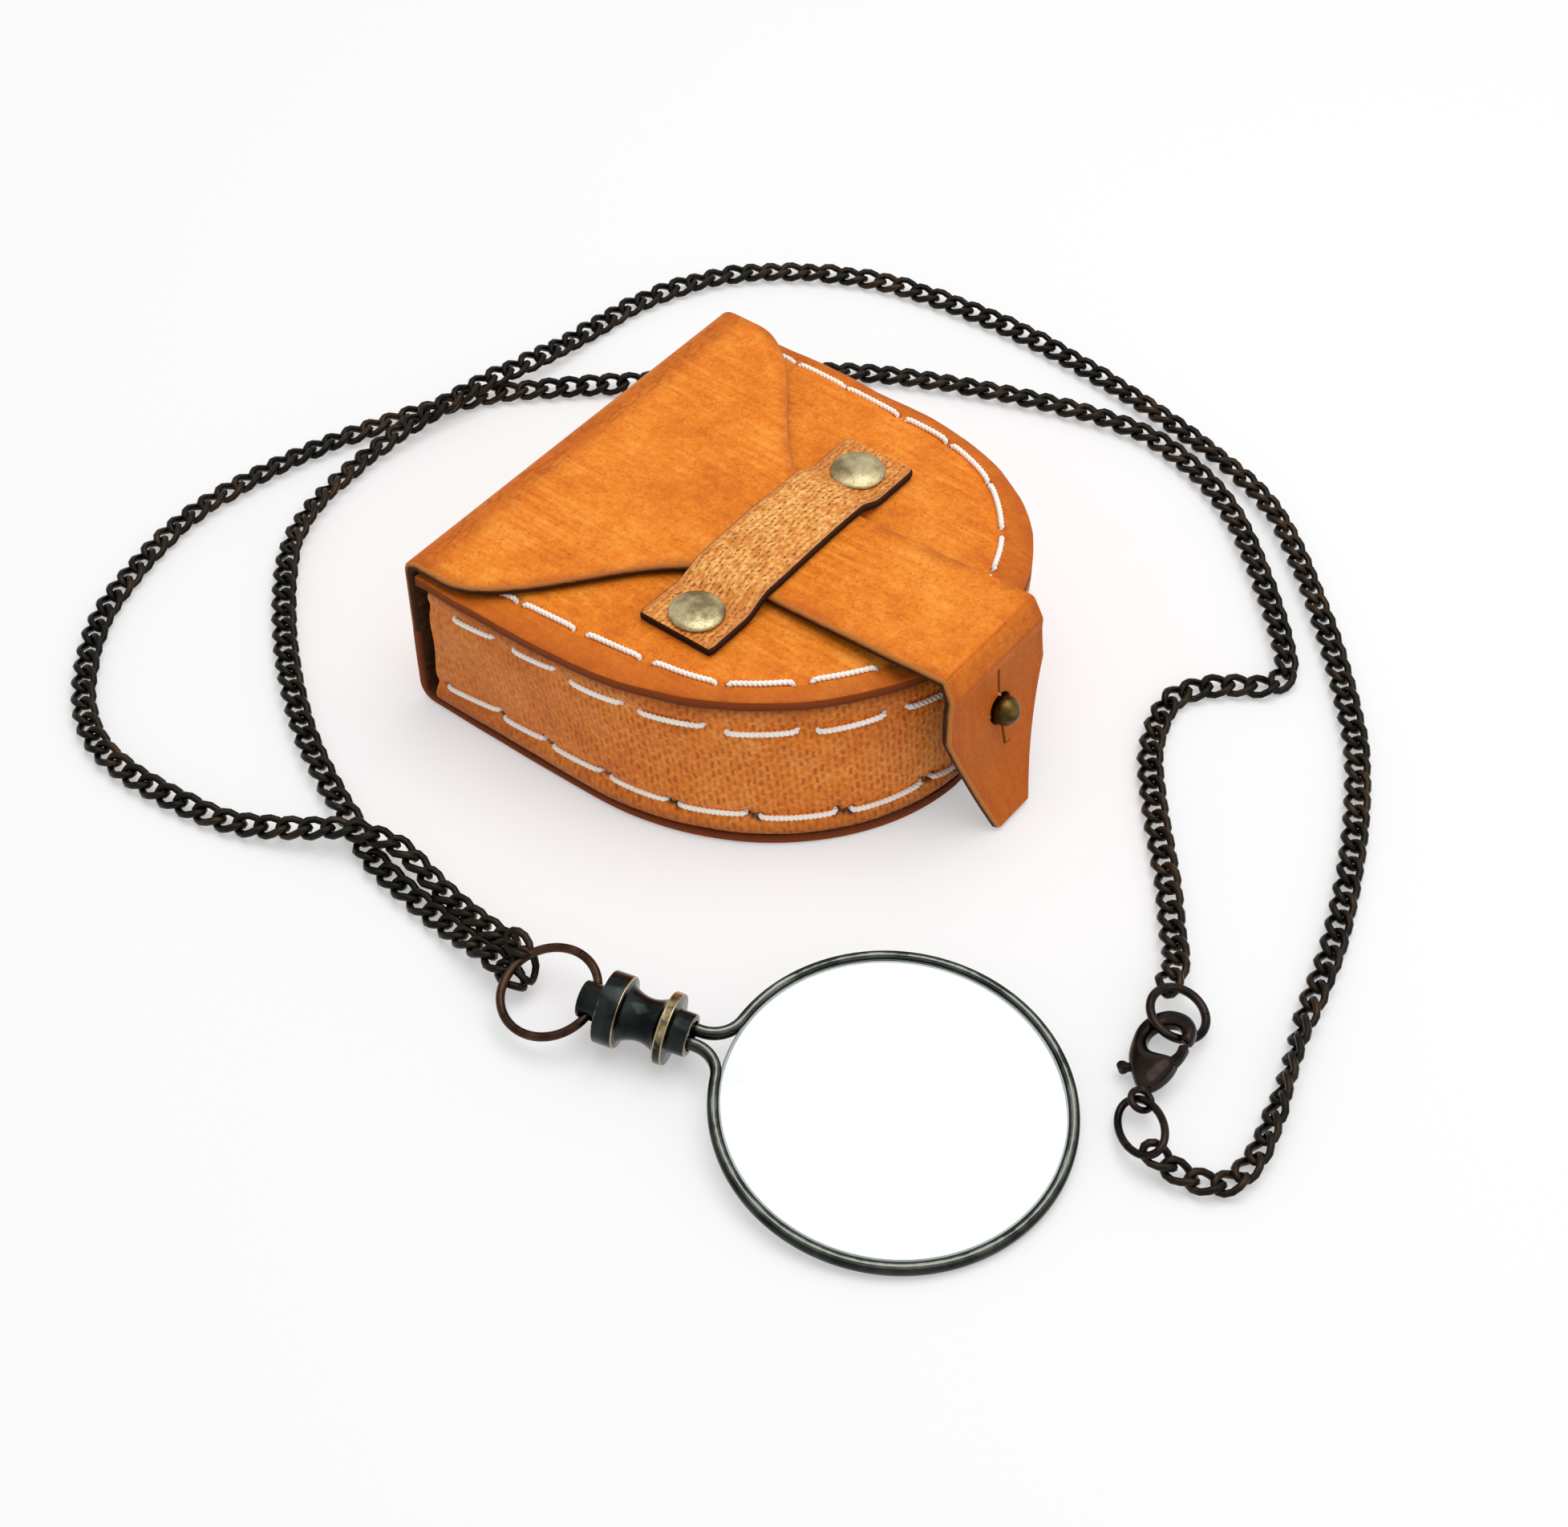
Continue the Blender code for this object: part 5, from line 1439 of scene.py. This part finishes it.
def makeWireRing(name, size, place, finish, body, node):
    a, b = size["half"]
    turns = np.radians(size["joint"] + np.linspace(size["gap"], 360 - size["gap"], 97))
    path = np.stack((a * np.cos(turns), b * np.sin(turns), np.zeros_like(turns)), axis=-1)
    around = [math.tau * k / 14 for k in range(14)]
    section = [(size["wire"] * math.cos(turn), size["wire"] * math.sin(turn)) for turn in around]
    piece = sweepPiece(name, path, section, place, finish)
    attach(piece, body)
    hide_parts(node)


def makeBail():  # the ring's wire runs through the handle's cross hole, at mid depth of its own curve
    bail = wireRings["bail"]
    copper = darkMetal("ringCopper", (0.020, 0.011, 0.008), (0.085, 0.040, 0.022), 0.26)
    sagitta = bail["stub"] ** 2 / (2 * bail["bend"])
    reach = (bail["half"][0] - sagitta / 2) * mm
    place = lensFrame @ placed((0, 0, 0), bail["turn"]) @ Matrix.Translation((reach, 0, 0))
    makeWireRing("bailRing", bail, place, copper, "neck_chain", "bail_ring")


makeRim()
makeGlass()
makeHandle()
makeBail()
print("lens made")

# Lobster clasp, in its own frame, X across and Y towards the hook
clasp = {
    "place": (94.8 * mm, -37.3 * mm, 3.1 * mm),
    "turn": (0.0, -18.0, 17.9),
    "hook": ((1.0, 2.0), (2.6, 4.0), (3.4, 6.4), (3.0, 7.4), (1.7, 7.9), (-0.5, 8.4), (-1.5, 9.4),
             (-1.9, 10.8), (-1.4, 12.4), (0.2, 13.5), (1.6, 13.5), (2.5, 12.8), (3.0, 11.6), (3.2, 10.9),
             (4.4, 10.7), (4.8, 12.2), (4.4, 14.0), (2.8, 15.6), (0.2, 16.2), (-2.2, 15.2), (-3.7, 13.0),
             (-4.0, 10.2), (-3.7, 7.2), (-2.6, 4.5), (-1.0, 2.0)),
    "lever": ((3.1, 10.1), (4.3, 10.0), (4.3, 8.9), (3.7, 7.0), (2.5, 5.4), (1.0, 5.1), (-0.2, 5.4),
              (-2.0, 5.5), (-3.3, 5.2), (-4.2, 5.1), (-4.5, 5.6), (-4.2, 6.1), (-3.3, 6.2), (-0.6, 6.4),
              (1.0, 7.0), (2.2, 7.8), (2.9, 8.8)),
    "hookHalf": 1.15,
    "bellyHalf": 1.95,
    "bellyPlace": 5.8,
    "bellyReach": 3.6,
    "domeReach": (0.95, 1.7),
    "domeFloor": 0.30,
    "leverHalf": 0.55,
    "knob": (-4.3, 5.6, 0.75),
    "leverPivot": (1.0, 6.2),
    "leverSwing": 18.0,
    "slotPlay": 0.10,
    "slotStep": 0.02,
    "eyelet": (1.6, 0.52, -50.0),
    "stem": (3.1, 1.3),
    "grain": 0.12,
    "rounding": 6,
    "leverRounding": 4,
}
claspFrame = placed(clasp["place"], clasp["turn"])


def smoothRound(outline):  # a closed outline with its corners eased
    spots = [(*spot, 0) for spot in outline]
    line = smoothLine(spots[-2:] + spots + spots[:2], 4)
    return [(p.x, p.y) for p in line[8:8 + 4 * len(outline)]]


def addPrism(shape, outline, low, high):
    bottom = [shape.verts.new((x, y, low)) for x, y in outline]
    top = [shape.verts.new((x, y, high)) for x, y in outline]
    shape.faces.new(bottom[::-1])
    shape.faces.new(top)
    for i in range(len(outline)):
        k = (i + 1) % len(outline)
        shape.faces.new((bottom[i], bottom[k], top[k], top[i]))


def remeshed(shape, rounds):  # the joined solids as one skin, rounded off
    bmesh.ops.recalc_face_normals(shape, faces=shape.faces)
    piece = shapePiece("casting", shape)
    remesh = piece.modifiers.new("remesh", "REMESH")
    remesh.mode = "VOXEL"
    remesh.voxel_size = clasp["grain"]
    soften = piece.modifiers.new("soften", "SMOOTH")
    soften.iterations = rounds
    cast = evaluatedMesh(piece)
    bpy.data.objects.remove(piece)
    return cast


def castPiece(name, shape, rounds, finish):
    cast = remeshed(shape, rounds)
    cast.transform(claspFrame @ Matrix.Scale(mm, 4))
    cast.materials.append(finish.material)
    return linkPiece(name, cast)


def swollenHook():  # the hook's flat shape, domed towards its middle and fullest at the belly
    outline = np.array(smoothRound(clasp["hook"]))
    shape = bmesh.new()
    addPrism(shape, outline, -1.0, 1.0)
    cast = remeshed(shape, 0)
    co = meshSpots(cast)
    step = np.roll(outline, -1, axis=0) - outline
    apart = co[:, None, :2] - outline
    share = ((apart * step).sum(axis=2) / (step ** 2).sum(axis=1)).clip(0, 1)
    depth = np.linalg.norm(apart - share[..., None] * step, axis=2).min(axis=1)
    belly = hump(co[:, 1], clasp["bellyPlace"], clasp["bellyReach"])
    slim, wide = clasp["domeReach"]
    dome = np.sqrt(1 - (1 - (depth / (slim + wide * belly)).clip(0, 1)) ** 2)
    half = clasp["hookHalf"] + (clasp["bellyHalf"] - clasp["hookHalf"]) * belly
    co[:, 2] *= half * (clasp["domeFloor"] + (1 - clasp["domeFloor"]) * dome)
    cast.vertices.foreach_set("co", co.reshape(-1))
    swollen = bmesh.new()
    swollen.from_mesh(cast)
    return swollen


def addEyelet(shape):
    radius, wire, tilt = clasp["eyelet"]
    top, flare = clasp["stem"]
    stem = [(-wire, radius), (wire, radius), (flare * wire, top), (-flare * wire, top)]
    addPrism(shape, stem, -wire, wire)
    turn = Matrix.Rotation(math.radians(90 + tilt), 4, "Y")
    around = [math.tau * i / 32 for i in range(32)]
    section = [math.tau * k / 10 for k in range(10)]
    loops = []
    for a in around:
        loop = []
        for b in section:
            out = radius + wire * math.cos(b)
            spot = Vector((out * math.cos(a), out * math.sin(a), wire * math.sin(b)))
            loop.append(shape.verts.new(turn @ spot))
        loops.append(loop)
    for near, far in zip(loops, loops[1:] + loops[:1]):
        for k in range(len(section)):
            n = (k + 1) % len(section)
            shape.faces.new((near[k], near[n], far[n], far[k]))


def slotTool(angle, half):  # the lever's own shape with some play, turned about its pin
    outline = [Vector(spot) for spot in smoothRound(clasp["lever"])]
    pivot = Vector(clasp["leverPivot"])
    turn = Matrix.Rotation(math.radians(angle), 2)
    grown = []
    for before, spot, after in zip(outline[-1:] + outline, outline, outline[1:] + outline[:1]):
        ahead = (after - before).normalized()
        grown.append(pivot + turn @ (spot + Vector((-ahead.y, ahead.x)) * clasp["slotPlay"] - pivot))
    shape = bmesh.new()
    addPrism(shape, grown, -half, half)
    bmesh.ops.recalc_face_normals(shape, faces=shape.faces)
    tool = shapePiece("tool", shape)
    tool.data.transform(claspFrame @ Matrix.Scale(mm, 4))
    return tool


def makeClaspBody(black):
    shape = swollenHook()
    addEyelet(shape)
    body = castPiece("claspBody", shape, clasp["rounding"], black)
    for step in range(3):
        half = clasp["leverHalf"] + clasp["slotPlay"] + clasp["slotStep"] * step
        cutPiece(body, [slotTool(clasp["leverSwing"] * step / 2, half)])
    finishMesh(body.data, 65.0)
    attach(body, "neck_chain")
    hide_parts("clasp_body")


def makeLever(black):
    shape = bmesh.new()
    addPrism(shape, smoothRound(clasp["lever"]), -clasp["leverHalf"], clasp["leverHalf"])
    x, y, radius = clasp["knob"]
    around = [math.tau * k / 16 for k in range(16)]
    knob = [(x + radius * math.cos(turn), y + radius * math.sin(turn)) for turn in around]
    addPrism(shape, knob, -radius, radius)
    lever = castPiece("claspLever", shape, clasp["leverRounding"], black)
    finishMesh(lever.data, 80.0)
    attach(lever, "lever")
    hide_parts("clasp_lever")


def makeJumpRings(black):
    ring = wireRings["upper"]
    swing = Matrix.Rotation(math.radians(ring["swing"]), 4, "Y")
    place = claspFrame @ Matrix.Translation(ring["place"]) @ swing
    makeWireRing("upperJumpRing", ring, place, black, "neck_chain", "upper_jump_ring")
    ring = wireRings["lower"]
    swing = Matrix.Rotation(math.radians(ring["swing"]), 4, "Y")
    place = placed(clasp["place"], ring["turn"]) @ swing @ Matrix.Translation(ring["place"])
    place = place @ Matrix.Rotation(math.radians(ring["roll"]), 4, "Z")
    makeWireRing("lowerJumpRing", ring, place, black, "neck_chain", "lower_jump_ring")


claspBlack = darkMetal("claspBlack", (0.008, 0.006, 0.006), (0.030, 0.020, 0.016), 0.25)
makeClaspBody(claspBlack)
makeLever(claspBlack)
makeJumpRings(claspBlack)
print("clasp made")


def dressHiddenSolids():  # solids that stay as they are, inside the case, handle and clasp
    steel = darkMetal("springSteel", (0.10, 0.10, 0.10), (0.20, 0.20, 0.20), 0.30)
    tin = agedBrass("solderTin", (0.22, 0.22, 0.22), (0.40, 0.40, 0.40), (0.55, 0.55, 0.54), 0.42)
    finishes = {"rivet_post_near": rivetBrass, "rivet_post_far": rivetBrass, "stud_screw": studBrass,
                "solder_fill": tin, "clasp_pin": steel, "clasp_spring": steel}
    for name, finish in finishes.items():
        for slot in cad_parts[name].material_slots:
            slot.material = finish.material


dressHiddenSolids()

# Curb chain: the two routes lie where the solids lie, the links lower and flatter
chain = {
    "pitch": 3.60 * mm,
    "linkLength": 6.2 * mm,
    "linkWidth": 4.4 * mm,
    "wireRadius": 0.60 * mm,
    "twist": -47.0,
    "restHeight": 1.36 * mm,
    "solidHeight": 2.1 * mm,
    "crossingShare": 0.47,
    "rollLift": 0.45,
    "looseRoll": 8.0,
    "sway": 20.0,
    "swayWaves": (23.0 * mm, 61.0 * mm),
    "stillEnd": 25.0 * mm,
    "kinkRoll": 62.0,
    "kinkPlace": 35.0 * mm,
    "kinkReach": 13.0 * mm,
    "gather": (1.3 * mm, 1.2 * mm, 0.7 * mm, 0.2 * mm),
    "gatherRise": 0.5,
    "over": ((0.9, -0.2, -1.2), (-1.0, 0.9, 0.9)),
    "under": ((0.0, -2.3, -2.2), (-1.9, -2.5, -1.9)),
    "upperTip": (-0.6, -1.4, 0.0),
    "lowerTip": (0.2, -0.2, 0.8),
}
leftRoute = (
    (0.0073, -0.0698, 0.0047), (-0.0040, -0.0680, 0.0026), (-0.0120, -0.0669, 0.0024),
    (-0.0190, -0.0665, 0.0058), (-0.0270, -0.0690, 0.0073), (-0.0345, -0.0732, 0.0050),
    (-0.0440, -0.0776, 0.0021), (-0.0572, -0.0800, 0.0021), (-0.0704, -0.0795, 0.0021),
    (-0.0807, -0.0743, 0.0021), (-0.0905, -0.0635, 0.0021), (-0.0960, -0.0522, 0.0021),
    (-0.0998, -0.0340, 0.0021), (-0.0978, -0.0168, 0.0021), (-0.0921, 0.0011, 0.0021),
    (-0.0819, 0.0213, 0.0021), (-0.0721, 0.0318, 0.0021), (-0.0637, 0.0396, 0.0021),
    (-0.0490, 0.0540, 0.0021), (-0.0328, 0.0678, 0.0021), (-0.0091, 0.0788, 0.0021),
    (0.0115, 0.0846, 0.0021), (0.0244, 0.0838, 0.0021), (0.0388, 0.0774, 0.0021),
    (0.0542, 0.0640, 0.0021), (0.0660, 0.0507, 0.0021), (0.0660, 0.0450, 0.0021),
    (0.0600, 0.0401, 0.0021), (0.0557, 0.0330, 0.0021), (0.0585, 0.0223, 0.0021),
    (0.0652, 0.0125, 0.0021), (0.0756, 0.0000, 0.0021), (0.0818, -0.0083, 0.0026),
    (0.0854, -0.0133, 0.0036),
)
rightRoute = (
    (0.0073, -0.0743, 0.0047), (-0.0043, -0.0726, 0.0026), (-0.0130, -0.0714, 0.0021),
    (-0.0215, -0.0698, 0.0021), (-0.0292, -0.0664, 0.0021), (-0.0384, -0.0625, 0.0021),
    (-0.0509, -0.0557, 0.0021), (-0.0657, -0.0443, 0.0021), (-0.0789, -0.0304, 0.0021),
    (-0.0845, -0.0192, 0.0021), (-0.0865, -0.0051, 0.0021), (-0.0852, 0.0080, 0.0050),
    (-0.0822, 0.0215, 0.0073), (-0.0797, 0.0345, 0.0052), (-0.0786, 0.0480, 0.0021),
    (-0.0766, 0.0605, 0.0021), (-0.0698, 0.0748, 0.0021), (-0.0587, 0.0849, 0.0021),
    (-0.0450, 0.0916, 0.0021), (-0.0287, 0.0944, 0.0021), (-0.0111, 0.0947, 0.0021),
    (0.0079, 0.0925, 0.0021), (0.0284, 0.0880, 0.0021), (0.0456, 0.0811, 0.0021),
    (0.0650, 0.0638, 0.0021), (0.0785, 0.0488, 0.0021), (0.0858, 0.0390, 0.0021),
    (0.0937, 0.0242, 0.0021), (0.1010, 0.0060, 0.0021), (0.1056, -0.0111, 0.0021),
    (0.1104, -0.0269, 0.0021), (0.1121, -0.0355, 0.0021), (0.1108, -0.0412, 0.0022),
    (0.1053, -0.0435, 0.0026),
)


def besideNode(name, step):  # a spot some mm from the middle of a solid
    low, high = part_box(name)
    return (low + high) / 2 + Vector(step) * mm


def chainMetal():
    metal = Finish("chainBronze", Metallic=0.9)
    where = metal.place()
    tint = metal.noise(where, 160.0, 3.0)
    grain = metal.noise(where, 2200.0, 2.0)
    bronze = ((0.36, (0.010, 0.009, 0.007)), (0.54, (0.020, 0.015, 0.010)), (0.70, (0.045, 0.026, 0.014)))
    metal.feed("Base Color", metal.ramp(tint, bronze))
    metal.feed("Roughness", 0.30 + 0.22 * grain)
    metal.bump(grain, 0.25, 0.00008)
    return metal


def linkTree(finish, count, seed):
    tree = GeometryTree("curbLinks", {
        "Links": count,
        "Half length": chain["linkLength"] / 2 - chain["wireRadius"],
        "Half width": chain["linkWidth"] / 2 - chain["wireRadius"],
        "Wire radius": chain["wireRadius"],
        "Twist": math.radians(chain["twist"]),
        "Loose roll": math.radians(chain["looseRoll"]),
        "Seed": seed,
    })
    oval = tree.node("GeometryNodeCurvePrimitiveCircle", {"mode": "RADIUS"},
                     {"Resolution": 14, "Radius": 1.0})
    spot = tree.node("GeometryNodeInputPosition")
    ahead = tree.part(spot, 0)
    side = tree.part(spot, 1) * tree.size("Half width")
    turn = ahead * tree.size("Twist")
    bent = tree.node("ShaderNodeCombineXYZ", {},
                     {0: ahead * tree.size("Half length"), 1: side * turn.cosine(), 2: side * turn.sine()})
    oval = tree.node("GeometryNodeSetPosition", {}, {"Geometry": oval, "Position": bent})
    wire = tree.node("GeometryNodeCurvePrimitiveCircle", {"mode": "RADIUS"},
                     {"Resolution": 6, "Radius": tree.size("Wire radius")})
    link = tree.node("GeometryNodeCurveToMesh", {}, {"Curve": oval, "Profile Curve": wire})
    row = tree.node("GeometryNodeResampleCurve", {},
                    {"Curve": tree.source(), "Count": tree.size("Links")})
    tangent = tree.node("GeometryNodeInputTangent")
    aim = tree.node("FunctionNodeAlignRotationToVector", {"axis": "X"}, {"Vector": tangent})
    level = tree.node("FunctionNodeAlignRotationToVector", {"axis": "Z", "pivot_axis": "X"},
                      {"Rotation": aim, "Vector": (0.0, 0.0, 1.0)})
    most = tree.size("Loose roll")
    roll = tree.node("FunctionNodeRandomValue", {"data_type": "FLOAT"},
                     {2: most * -1.0, 3: most, "Seed": tree.size("Seed")}, output=1)
    roll = roll + tree.node("GeometryNodeInputCurveTilt")
    rolled = tree.node("FunctionNodeAxisAngleToRotation", {}, {"Axis": (1.0, 0.0, 0.0), "Angle": roll})
    rise = roll.sine().size() * tree.size("Half width") * chain["rollLift"]
    rise = tree.node("ShaderNodeCombineXYZ", {}, {2: rise})
    row = tree.node("GeometryNodeSetPosition", {}, {"Geometry": row, "Offset": rise})
    turned = tree.node("FunctionNodeRotateRotation", {"rotation_space": "LOCAL"},
                       {"Rotation": level, "Rotate By": rolled})
    links = tree.node("GeometryNodeInstanceOnPoints", {},
                      {"Points": row, "Instance": link, "Rotation": turned})
    tree.close(links, finish)
    return tree


def layRoute(route, ringEnd, farEnd, gather=()):
    # humps shrink to the links' own thickness; both ends keep the height of what they hang on
    rest = chain["restHeight"]
    laid = []
    for i, (x, y, z) in enumerate(route):
        share = 1.0 if i == 0 or i == len(route) - 1 else chain["crossingShare"]
        drawn = gather[i] if i < len(gather) else 0.0
        laid.append((x, y - drawn, rest + share * (z - chain["solidHeight"]) + drawn * chain["gatherRise"]))
    return smoothLine([*ringEnd, *laid, farEnd], 10)


def strandRoll(line, seed, kinked):
    # the chain lies flat at its ends, sways between and may turn on edge once
    along = np.array(lengthsOf(line))
    back = along[-1] - along
    loose = np.clip(np.minimum(along, back) / chain["stillEnd"], 0, 1)
    short, long = chain["swayWaves"]
    roll = chain["sway"] * np.sin(along / short + seed) * np.sin(along / long + seed) * loose
    if kinked:
        roll += chain["kinkRoll"] * hump(back, chain["kinkPlace"], chain["kinkReach"])
    return np.radians(roll)


def makeStrand(name, node, endNode, line, seed, finish, kinked=False):
    length = lengthsOf(line)[-1]
    tree = linkTree(finish, round(length / chain["pitch"]) + 1, seed)
    strand = tree.run(name, polyCurve(name + "Route", [line], [strandRoll(line, seed, kinked)]))
    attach(strand, "neck_chain")
    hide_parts(node, *endNode)
    print(name, "laid,", round(length / mm), "mm")


def makeChain():
    metal = chainMetal()
    over = [besideNode("middle_link", step) for step in chain["over"]]
    under = [besideNode("middle_link", step) for step in chain["under"]]
    left = layRoute(leftRoute, over, besideNode("upper_end_link", chain["upperTip"]), chain["gather"])
    right = layRoute(rightRoute, under, besideNode("lower_end_link", chain["lowerTip"]))
    makeStrand("chainLeft", "chain_left", ["upper_end_link", "middle_link"], left, 4, metal)
    makeStrand("chainRight", "chain_right", ["lower_end_link"], right, 9, metal, True)


makeChain()

# Studio: pale floor, soft light
studio = {
    "floorSize": 3.0,
    "floorDrop": 0.15 * mm,
    "skyLight": 0.55,
    "backdropShare": 0.36,
    "fadeStart": 0.15,
    "fadeEnd": 0.55,
    "mirroredFloor": 0.5,
    "mirroredSky": 0.8,
    "lamps": {  # place, size, power
        "topLamp": ((0.05, 0.12, 0.75), 0.7, 3.4),
        "sideLamp": ((0.62, 0.10, 0.42), 0.5, 0.4),
    },
}


def whiteRays(maker):  # rays that see the backdrop: camera, mirror and glass
    kinds = ("Is Camera Ray", "Is Glossy Ray", "Is Transmission Ray")
    return [maker.node("ShaderNodeLightPath", output=kind) for kind in kinds]


def makeFloor():
    half = studio["floorSize"] / 2
    mesh = bpy.data.meshes.new("floor")
    corners = ((-half, -half), (half, -half), (half, half), (-half, half))
    mesh.from_pydata([(x, y, -studio["floorDrop"]) for x, y in corners], [], [(0, 1, 2, 3)])
    floor = linkPiece("floor", mesh)
    paper = Finish("floorPaper", Base_Color=(0.95, 0.95, 0.95, 1.0), Roughness=0.9)
    seen, mirrored, through = whiteRays(paper)
    glow = paper.node("ShaderNodeEmission", {}, {"Color": (1.0, 1.0, 1.0, 1.0), "Strength": 1.0})
    where = paper.place()
    away = (paper.part(where, 0) ** 2.0 + paper.part(where, 1) ** 2.0) ** 0.5
    whiter = away.step(studio["fadeStart"], studio["fadeEnd"]) * (1.0 - studio["backdropShare"])
    white = seen * (studio["backdropShare"] + whiter)
    share = white.most(mirrored * studio["mirroredFloor"]).most(through)
    body = Wire(paper, paper.shader.outputs[0])
    blend = paper.node("ShaderNodeMixShader", {}, {0: share, 1: body, 2: glow})
    paper.tree.links.new(blend.socket, paper.tree.nodes["Material Output"].inputs["Surface"])
    mesh.materials.append(paper.material)


def makeSky():
    world = bpy.data.worlds.new("studioSky")
    world.use_nodes = True
    bpy.context.scene.world = world
    sky = NodeMaker(world.node_tree)
    seen, mirrored, through = whiteRays(sky)
    strength = seen.most(through).most(mirrored * studio["mirroredSky"]).most(studio["skyLight"])
    background = world.node_tree.nodes["Background"]
    background.inputs["Color"].default_value = (1.0, 1.0, 1.0, 1.0)
    world.node_tree.links.new(strength.socket, background.inputs["Strength"])


def addLamp(name, place, size, power):  # an area lamp that looks at the origin
    data = bpy.data.lights.new(name, "AREA")
    data.size = size
    data.energy = power
    lamp = bpy.data.objects.new(name, data)
    bpy.context.scene.collection.objects.link(lamp)
    lamp.location = place
    lamp.rotation_euler = (-Vector(place)).to_track_quat("-Z", "Y").to_euler()


makeFloor()
makeSky()
for lampName, lampSizes in studio["lamps"].items():
    addLamp(lampName, *lampSizes)
bpy.context.scene.view_settings.view_transform = "Standard"
print("studio lit")
